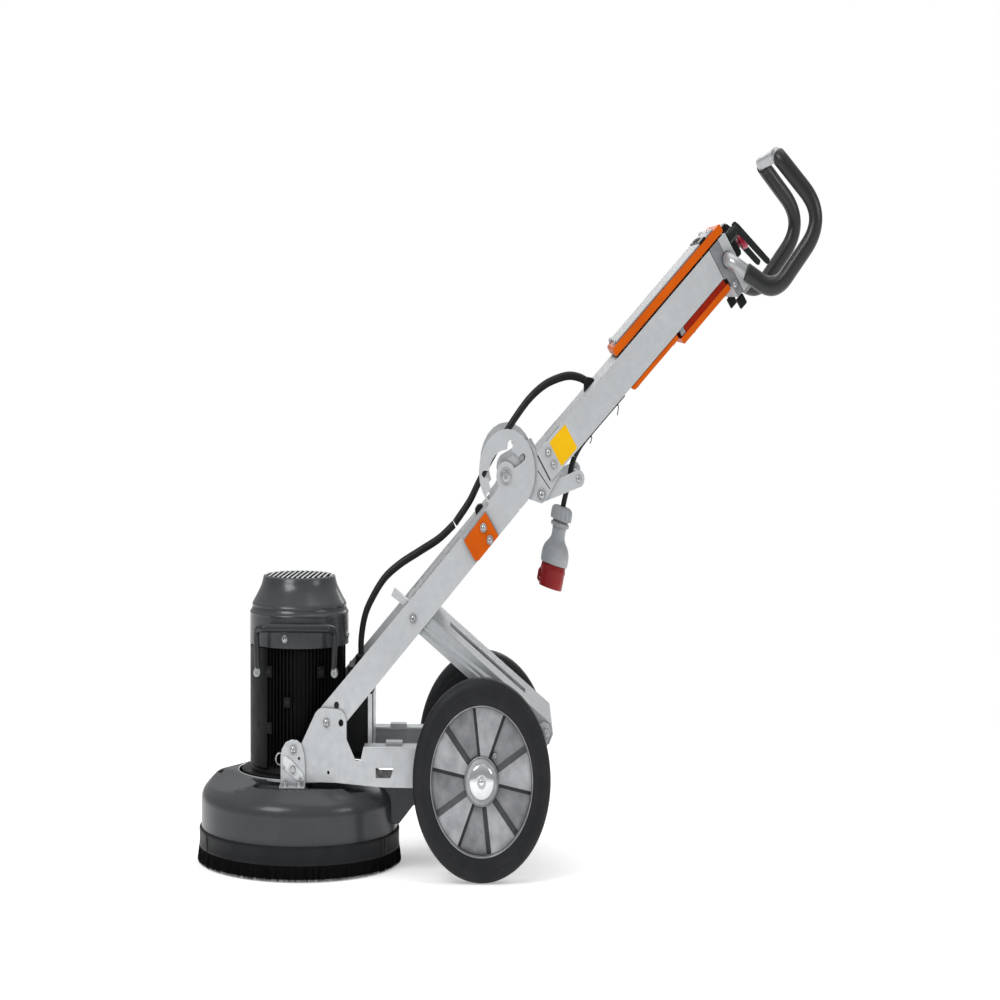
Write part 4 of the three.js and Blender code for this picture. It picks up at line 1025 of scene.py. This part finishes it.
for side, s in SIDES:
    bm = bmesh.new()
    disc_stack(bm, A2p(478.6, s * 105, 41), du, [(0, 0), (9, 0), (9, 4), (10.5, 5), (10.5, 28), (9.8, 31), (7.6, 33.2), (4.2, 33.4), (4, 31.5), (0, 31.5)], 40)
    prof = [(503, 53), (506.5, 53.8), (512, 52.5), (516.5, 43), (540, -40), (541.6, -45.5), (539, -48.6), (534, -49.6), (531, -47), (528, -40), (508, 27), (504, 31)]
    prism(bm, [A2(*p) for p in prof], s * 105 - 6, s * 105 + 6)
    o = obj_from("clamp_lever_handle_" + side, bm, "lever", None, 34)
    bevel_mod(o, 2.2, 3, 36)
    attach(o, "clamp_lever_" + side)
    stand(o, "clamp_lever_" + side, slot="black_plastic")
    bm = bmesh.new()
    disc_stack(bm, A2p(446, s * 105, 41), du, [(0, 0), (4, 0), (4, 34), (0, 34)], 24)
    o = obj_from("clamp_lever_stud_" + side, bm, "steel", "clamp_lever_" + side)
bm = disc_stack(bmesh.new(), A2p(491, 0, 15), du, [(0, 0), (8, 0), (8, 18), (15.6, 19.2), (17, 20), (17, 24), (18.4, 25.2), (19.4, 26.8), (19.5, 29), (18.6, 31), (15.6, 32.8), (10, 33.7), (0, 34)], 64)
o = obj_from("stop_button_mushroom", bm, "magenta", "estop_button", 40)
stand(o, "estop_button", slot="red_plastic")

steel = {}


def fast(body, c, ax, af=12.0, h=5.0, washer=9.0, kind="dome"):
    if body not in steel:
        steel[body] = bmesh.new()
    bolt(steel[body], c, ax, af, h, washer, kind)


for side, s in SIDES:
    n = (0, s, 0)
    fast("chassis", (-364.5, s * 157, 240.4), n, 13, 5, 7.6)
    fast("chassis", (150, s * 157, 226), n, 13, 5, 8.6, "hex")
    fast("chassis", (-161.2, s * 153.2, 404.6), n, 12, 5.5, 8.2)
    fast("chassis", (3.7, s * 163.6, 546.8), n, 11, 4.4, 7.6)
    fast("chassis", (18.9, s * 163.6, 528), n, 11, 4.4, 7.6)
    fast("upper_arm", (155.4, s * 153.2, 663.6), n, 10.5, 4.4, 7.2)
    fast("upper_arm", (168.3, s * 153.2, 644.8), n, 10.5, 4.4, 7.2)
    fast("upper_arm", (140, s * 149.9, 597.7), n, 14, 6, 9.8)
    fast("lock_lever", (227, s * 146.2, 622), n, 12, 3, 0)
    fast("head", (-442.2, s * 161.2, 198.1), n, 12.5, 5, 8.0)
    fast("head", (-464, s * 163.2, 169.8), n, 5, 2, 0)
    fast("head", (-425.1, s * 163.2, 153.4), n, 5, 2, 0)
    fast("head", (-428, s * 178, 142), (0, 0, 1), 10, 5, 7.5, "socket")
    fast("head", (-460, s * 178, 142), (0, 0, 1), 10, 5, 7.5, "socket")
    fast("upper_arm", (594.3, s * 152, 924.2), n, 9.5, 4, 6.2)
    for u in (171, 451):
        p = A2p(u, s * 112, 74)
        fast("upper_arm", tuple(p), tuple(dw), 11, 6, 8.0)
    for u in (330, 420):
        p = A2p(u, s * 120, -24)
        fast("upper_arm", tuple(p), tuple(-dw), 8, 3, 0)
    for u in (172, 280):
        p = A2p(u, s * 120, -9.3)
        fast("upper_arm", tuple(p), tuple(-dw), 8, 3, 0)
for k in (1, 2, 3):
    a = math.radians(120 * (k - 1))
    for j in range(3):
        b = math.radians(120 * j + 90)
        fast("tool_%d" % k, (HX + 135 * math.cos(a) + 22 * math.cos(b), 135 * math.sin(a) + 22 * math.sin(b), 16.2), (0, 0, -1), 8, 3, 0, "socket")
for body, bm in steel.items():
    o = obj_from("fasteners_" + body, bm, "steel", body, 34)

# pivot pin of the fold: rod, washers and domed heads
bm = bmesh.new()
disc_stack(bm, (56.5, 0, 626.7), (0, 1, 0), [(0, -158), (8.5, -158), (8.5, 158), (0, 158)], 32)
for s in (-1, 1):
    disc_stack(bm, (56.5, s * 157.5, 626.7), (0, s, 0), [(0, 0), (13, 0), (13, 1.6), (12.4, 2.1), (9.6, 2.1), (9.4, 2.8), (9.4, 4.4), (8.8, 5.4), (6.4, 6.0), (3.6, 6.0), (3.4, 4.2), (0, 4.2)], 48)
o = obj_from("fold_pivot_bolt", bm, "steel", "chassis", 34)
bpy.data.objects.remove(bpy.data.objects["fold_pivot_pin_look"])
stand(o, "fold_pivot_pin", slot="bright_steel")

# painted shadow: thin near-black strips stand for the shade in the gaps at the arm end
bm = bmesh.new()
for s in (-1, 1):
    q0, q1 = A2(-80.2, 0.5), A2(-80.2, 50)
    prism(bm, [A2(-80.2, 2), A2(-80.2, 51), A2(-82.6, 51), A2(-82.6, 2)], *yrange(s, 149.92, 150.1))
    prism(bm, [(130.6, 634.1), (159, 605.7), (160.2, 607), (131.8, 635.4)], *yrange(s, 149.92, 150.02))
o = obj_from("arm_end_gap", bm, "hole", "upper_arm")
# latch plates round the tilt pin, dark holes, and the hole behind the side plate
# the dark holes here are near-black discs of painted shadow
bm, hm = bmesh.new(), bmesh.new()
for s in (-1, 1):
    y0, y1 = yrange(s, 161.25, 163.2)
    prism(bm, [(-466, 186), (-459, 187.5), (-444, 180), (-419, 160), (-416.5, 152), (-422, 147), (-430, 148), (-446, 156), (-462, 167), (-467.5, 178)], y0, y1)
    disc_stack(bm, (-443, s * 163.2, 166.7), (0, s, 0), [(7.2, 0), (9.8, 0), (9.8, 1.0), (9.2, 1.5), (7.2, 1.5)], 36)
    disc_stack(hm, (-428.7, s * 161.22, 184), (0, s, 0), [(0, 0), (2.6, 0), (2.6, 0.12), (0, 0.12)], 20)
o = obj_from("latch_plates", bm, "galv_bright", None)
bevel_mod(o, 0.6, 2)
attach(o, "head")
o = obj_from("bracket_holes", hm, "hole", "head")
# painted shadow: near-black discs stand for the shade inside the chassis holes
hm = bmesh.new()
for s in (-1, 1):
    disc_stack(hm, (-330.4, s * 153.22, 240.4), (0, s, 0), [(0, 0), (5.6, 0), (5.6, 0.12), (0, 0.12)], 24)
    disc_stack(hm, (-341.1, s * 153.22, 267.6), (0, s, 0), [(0, 0), (6, 0), (6, 0.12), (0, 0.12)], 24)
o = obj_from("chassis_holes", hm, "hole", "chassis")
for side, s in SIDES:
    bm = disc_stack(bmesh.new(), (-443, s * 163, 166.7), (0, s, 0), [(0, -1), (6.8, -1), (6.8, 1.4), (6.2, 2.8), (4.6, 3.4), (2.6, 3.4), (2.5, 2.4), (0, 2.4)], 32)
    o = obj_from("release_pin_head_" + side, bm, "steel", "release_pin_" + side, 40)

# plain yellow label, light panel and black switch on the cover, brackets, buffers
bm = bmesh.new()
c = (190.7, 674.6)
poly = []
for sx, sz in ((-1, -1), (1, -1), (1, 1), (-1, 1)):
    for j in range(4):
        a = math.radians({(-1, -1): 180, (1, -1): 270, (1, 1): 0, (-1, 1): 90}[(sx, sz)] + 30 * j)
        px_, pz_ = sx * 21 + 2.4 * math.cos(a), sz * 21 + 2.4 * math.sin(a)
        poly.append((c[0] + px_ * du.x - pz_ * du.z, c[1] + px_ * du.z + pz_ * du.x))
prism(bm, poly, -153.42, -153.22)
o = obj_from("plain_yellow_label", bm, "yellow", "upper_arm")


def in_arm(bm, u0, u1, w0, w1, y0, y1):
    return prism(bm, [A2(u0, w0), A2(u1, w0), A2(u1, w1), A2(u0, w1)], y0, y1)


bm = in_arm(bmesh.new(), 172, 421, 74, 78.2, -142, 142)
in_arm(bm, 438, 459, 74, 78.2, -142, 142)
o = obj_from("cover_top_panel", bm, "panel", None)
bevel_mod(o, 1.2, 3)
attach(o, "upper_arm")
bm = bmesh.new()
in_arm(bm, 421.5, 437, 74, 79.5, -142, 142)
for y in (-45, 0, 45):
    disc_stack(bm, A2p(429, y, 79), dw, [(0, 0), (6.4, 0), (6.4, 1.6), (5.2, 2.6), (0, 2.6)], 28)
o = obj_from("cover_switch_strip", bm, "plastic", None)
bevel_mod(o, 1.2, 3, 50)
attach(o, "upper_arm")
bm = bmesh.new()
for s in (-1, 1):
    in_arm(bm, 301, 311.4, -12, 1, *yrange(s, 118, 148))
    in_arm(bm, 462, 479, -51, -44.3, *yrange(s, 96, 132))
o = obj_from("clamp_and_box_brackets", bm, "alu", None)
bevel_mod(o, 1.0, 2)
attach(o, "upper_arm")
bm = bmesh.new()
for s in (-1, 1):
    in_arm(bm, 437.5, 456, -65, -46, s * 120 - 9.5, s * 120 + 9.5)
o = obj_from("rubber_buffers", bm, "band", None)
bevel_mod(o, 2.4, 3)
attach(o, "upper_arm")
bm = bmesh.new()
for s in (-1, 1):
    disc_stack(bm, A2p(446.8, s * 120, -47), dw, [(0, 0), (4, 0), (4, 3.4), (0, 3.4)], 20)
o = obj_from("buffer_studs", bm, "steel", "upper_arm")

# ------------------------------------------------------------------ cables
low = spline([(-292, 0, 323), (-291, 0, 362), (-281, 0, 399), (-264, 0, 425), (-235, 0, 456), (-199, 0, 478), (-151, 0, 499), (-103, 0, 520), (-67.8, 0, 542.4)], 12)
o = obj_from("motor_cable_lower_run", tube_pts(bmesh.new(), low, 7, 24), "cable", None, 60)
stand(o, "motor_cable_lower", slot="rubber")
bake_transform(o)
up = spline([(-66, 0, 544), (-30, 0, 580), (-11, 0, 606), (18, 0, 644), (54.5, 0, 686), (79, 0, 712), (115, 0, 744), (151, 0, 765), (187, 0, 776), (211.5, 0, 779), (236, 0, 775.5), (251, 0, 770)], 12)
o = obj_from("motor_cable_upper_run", tube_pts(bmesh.new(), up, 7, 24), "cable", None, 60)
stand(o, "motor_cable_upper", slot="rubber")
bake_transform(o)
sup = spline([(340, 0, 751), (295, 0, 716), (258, 0, 687), (236, 0, 668), (226, 0, 656), (221.5, 0, 650)], 12)
o = obj_from("supply_cable_run", tube_pts(bmesh.new(), sup, 6, 24), "cable", "upper_arm", 60)
stand(o, "supply_cable", slot="rubber")
bm = bmesh.new()
for (x, z, tx, tz, lx, lz) in ((322, 737, 46, 36, -3, -14), (258, 687, 38, 30, -5, -9)):
    t = Vector((tx, 0, tz)).normalized()
    disc_stack(bm, Vector((x, 0, z)) - t * 1.8, t, [(5.8, 0), (7.4, 0), (7.4, 3.6), (5.8, 3.6), (5.8, 0)], 28)
    q = Vector((x, 0, z))
    w = Vector((-t.z, 0, t.x))
    tube_pts(bm, [q - w * 6.5, q - w * 9 + Vector((0, -1.5, 0)), q - w * 9 + Vector((lx * 0.5, -2.5, lz * 0.6)), q - w * 9 + Vector((lx, -3, lz))], 1.1, 8)
o = obj_from("cable_ties", bm, "plastic", "upper_arm")
bm = bmesh.new()
prism(bm, [A2(66, 55.7), A2(98, 55.7), A2(98, 60), A2(88, 70), A2(80, 72), A2(72, 64)], -11, 11)
o = obj_from("cable_grommet", bm, "plastic", None)
bevel_mod(o, 2.0, 3)
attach(o, "upper_arm")
bm = bmesh.new()
prism(bm, [A1(200, 50.7), A1(222, 50.7), A1(222, 56), A1(214, 61), A1(204, 60)], -13, 13)
o = obj_from("cable_clip_lower", bm, "plastic", None)
bevel_mod(o, 1.6, 3)
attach(o, "chassis")

# ------------------------------------------------------------------ plug
top, bot = Vector((193.5, 0, 571)), Vector((162.8, 0, 441))
ax = (bot - top).normalized()
L = (bot - top).length
bm = bmesh.new()
tube_pts(bm, spline([(221.5, 0, 649.5), (214, 0, 634), (206, 0, 606), (197, 0, 580), (192, 0, 562)], 10), 6, 24)
cord = obj_from("plug_cord", bm, "cable", "plug", 60)
bm = bmesh.new()
disc_stack(bm, top, ax, [(6.4, 3), (7.2, 0.6), (15, 0), (20, 1.2), (23, 4), (24, 8), (24.4, 20), (23.4, 22.6), (18.4, 23.6), (18, 26), (21.4, 27), (22, 28.4), (22, 32), (20.6, 33.4), (17, 34.4), (16.2, 40), (16, 47),
                         (17, 52), (20.4, 57.4), (25.4, 62.6), (29.6, 68.4), (32.2, 75), (33, 82), (32.8, 89), (32.2, 93.8), (31, 95), (0, 95)], 72)
t = ax
u_ = Vector((0, 1, 0))
v_ = t.cross(u_)
for k in range(14):
    a = 2 * math.pi * k / 14
    d_ = (u_ * math.cos(a) + v_ * math.sin(a))
    tube_pts(bm, [top + d_ * 22.6 + t * 4.5, top + d_ * 23.9 + t * 8, top + d_ * 24.1 + t * 19.6, top + d_ * 22.6 + t * 22.2], 1.7, 8)
for a in (0.25, math.pi + 0.25):
    d_ = (u_ * math.cos(a) + v_ * math.sin(a))
    tube_pts(bm, [top + d_ * 17 + t * 31, top + d_ * 25.6 + t * 31.5], 3.2, 12)
o = obj_from("plug_shell", bm, "plug", "plug", 34)
stand(o, "plug_body", slot="plug_grey")
bm = bmesh.new()
disc_stack(bm, top, ax, [(0, 95.3), (28.2, 95.3), (28.9, 96), (29.1, 102), (29.8, 103), (29.8, 107), (28.9, 108.4), (28.7, 118), (28, 131), (27.2, L), (23.6, L), (23.1, L - 1), (23, 103), (0, 103)], 72)
d_ = Vector((-1, 0, 0))
d_ = (d_ - t * d_.dot(t)).normalized()
for h0, h1, rr in ((108, 128, 3.0),):
    tube_pts(bm, [top + d_ * 28 + t * h0, top + d_ * 31.4 + t * (h0 + 4), top + d_ * 31.6 + t * (h1 - 3), top + d_ * 27.6 + t * h1], rr, 14)
o = obj_from("plug_front_collar", bm, "red", "plug", 34)
stand(o, "plug_front", slot="red_plastic")
bm = bmesh.new()
for k in range(5):
    a = 2 * math.pi * k / 5 + 0.3
    d2 = (u_ * math.cos(a) + v_ * math.sin(a)) * 14
    disc_stack(bm, top + d2 + t * 102.8, t, [(0, 0), (2.8, 0), (2.8, 22), (2.2, 23.6), (0, 23.8)], 16)
o = obj_from("plug_pins", bm, "steel", "plug")

# ------------------------------------------------------------------ stage
n = N("pale_floor")
geo = n.node("ShaderNodeNewGeometry")
dist = n.node("ShaderNodeVectorMath", operation="LENGTH")
sc = n.node("ShaderNodeMapping", Vector=geo.outputs["Position"])
sc.inputs["Scale"].default_value = (1.0, 1.0, 0.0)
n.t.links.new(sc.outputs["Vector"], dist.inputs[0])
fac = n.node("ShaderNodeMapRange", Value=dist.outputs["Value"])
fac.interpolation_type = "SMOOTHSTEP"
fac.inputs["From Min"].default_value = 1.1
fac.inputs["From Max"].default_value = 2.4
em = n.node("ShaderNodeEmission")
em.inputs["Color"].default_value = (1, 1, 1, 1)
em.inputs["Strength"].default_value = 1.0
n.done(**{"Base Color": (0.93, 0.93, 0.93, 1), "Roughness": 0.9, "Specular IOR Level": 0.1})
ms = n.node("ShaderNodeMixShader")
n.t.links.new(fac.outputs["Result"], ms.inputs[0])
lift = n.node("ShaderNodeEmission")
lift.inputs["Color"].default_value = (1, 1, 1, 1)
lift.inputs["Strength"].default_value = 0.36
add = n.node("ShaderNodeAddShader")
n.t.links.new(n.b.outputs[0], add.inputs[0])
n.t.links.new(lift.outputs[0], add.inputs[1])
n.t.links.new(add.outputs[0], ms.inputs[1])
n.t.links.new(em.outputs[0], ms.inputs[2])
n.t.links.new(ms.outputs[0], n.o.inputs["Surface"])
bm = bmesh.new()
vs = [bm.verts.new((x, y, -0.0006)) for x, y in ((-40, -40), (40, -40), (40, 40), (-40, 40))]
bm.faces.new(vs)
me = bpy.data.meshes.new("floor")
bm.to_mesh(me)
bm.free()
floor = bpy.data.objects.new("floor", me)
COL.objects.link(floor)
me.materials.append(n.m)

w = bpy.data.worlds.new("studio")
S.world = w
w.use_nodes = True
wt = w.node_tree
bg = wt.nodes["Background"]
lp = wt.nodes.new("ShaderNodeLightPath")
tc = wt.nodes.new("ShaderNodeTexCoord")
sep = wt.nodes.new("ShaderNodeSeparateXYZ")
wt.links.new(tc.outputs["Generated"], sep.inputs[0])
rm = wt.nodes.new("ShaderNodeValToRGB")
mp = wt.nodes.new("ShaderNodeMapRange")
mp.inputs["From Min"].default_value = -1.0
wt.links.new(sep.outputs["Z"], mp.inputs["Value"])
wt.links.new(mp.outputs["Result"], rm.inputs["Fac"])
e = rm.color_ramp.elements
e[0].position, e[0].color = 0.0, (0.5, 0.5, 0.51, 1)
e[1].position, e[1].color = 1.0, (0.75, 0.75, 0.75, 1)
for p_, v in ((0.5, 0.46), (0.62, 0.40), (0.8, 0.58)):
    x = e.new(p_)
    x.color = (v, v, v * 1.01, 1)
mx = wt.nodes.new("ShaderNodeMix")
mx.data_type = "RGBA"
wt.links.new(lp.outputs["Is Camera Ray"], mx.inputs[0])
wt.links.new(rm.outputs["Color"], mx.inputs[6])
mx.inputs[7].default_value = (1, 1, 1, 1)
wt.links.new(mx.outputs[2], bg.inputs["Color"])
bg.inputs["Strength"].default_value = 1.0


def area(name, loc, size, energy, target=(0, 0, 0.5), size_y=None):
    d = bpy.data.lights.new(name, "AREA")
    d.shape = "RECTANGLE"
    d.size = size
    d.size_y = size_y or size
    d.energy = energy
    o = bpy.data.objects.new(name, d)
    COL.objects.link(o)
    o.location = loc
    o.rotation_mode = "QUATERNION"
    o.rotation_quaternion = (Vector(target) - Vector(loc)).to_track_quat("-Z", "Y")
    return o


area("key_softbox", (-1.9, -2.3, 2.9), 1.5, 52)
area("side_softbox", (2.6, -1.6, 2.0), 1.2, 18)
area("top_softbox", (0.2, 0.5, 3.4), 2.6, 24)
area("back_softbox", (0.5, 3.2, 2.2), 1.8, 20)

# ------------------------------------------------------------------ camera
# The reference frame is a 3:2 view compressed sideways into a square.  An angular camera with a wide
# longitude range and a narrower latitude range gives that proportion.  Moved anywhere else, the camera
# is an ordinary perspective one, so every other view has true proportions.
HOME = (0.0424 + SX / 1000, -5.858, 0.910)
cd = bpy.data.cameras.new("main_camera")
cam = bpy.data.objects.new("main_camera", cd)
COL.objects.link(cam)
S.camera = cam
cam.location = HOME
cam.rotation_mode = "QUATERNION"
cam.rotation_quaternion = Euler((math.pi / 2, 0, 0)).to_quaternion()
cd.sensor_width = 36
cd.lens = 18 / math.tan(0.4)
cd.clip_start, cd.clip_end = 0.05, 200
cd.panorama_type = "EQUIRECTANGULAR"
cd.longitude_min, cd.longitude_max = -500 / 2436, 500 / 2436
cd.latitude_min, cd.latitude_max = -706.6 / 3682, 293.4 / 3682
cd.type = "PANO"
drv = cd.driver_add("type").driver
drv.type = "SCRIPTED"
for nm, path_ in (("y", "location[1]"), ("z", "location[2]")):
    v = drv.variables.new()
    v.name = nm
    v.type = "SINGLE_PROP"
    v.targets[0].id_type = "OBJECT"
    v.targets[0].id = cam
    v.targets[0].data_path = path_
drv.expression = "2 if (abs(y+5.858)+abs(z-0.91))<0.0005 else 0"

S.view_settings.view_transform = "Standard"
S.view_settings.look = "None"
S.view_settings.exposure = 0.0
S.view_settings.gamma = 1.0

bpy.context.view_layer.update()
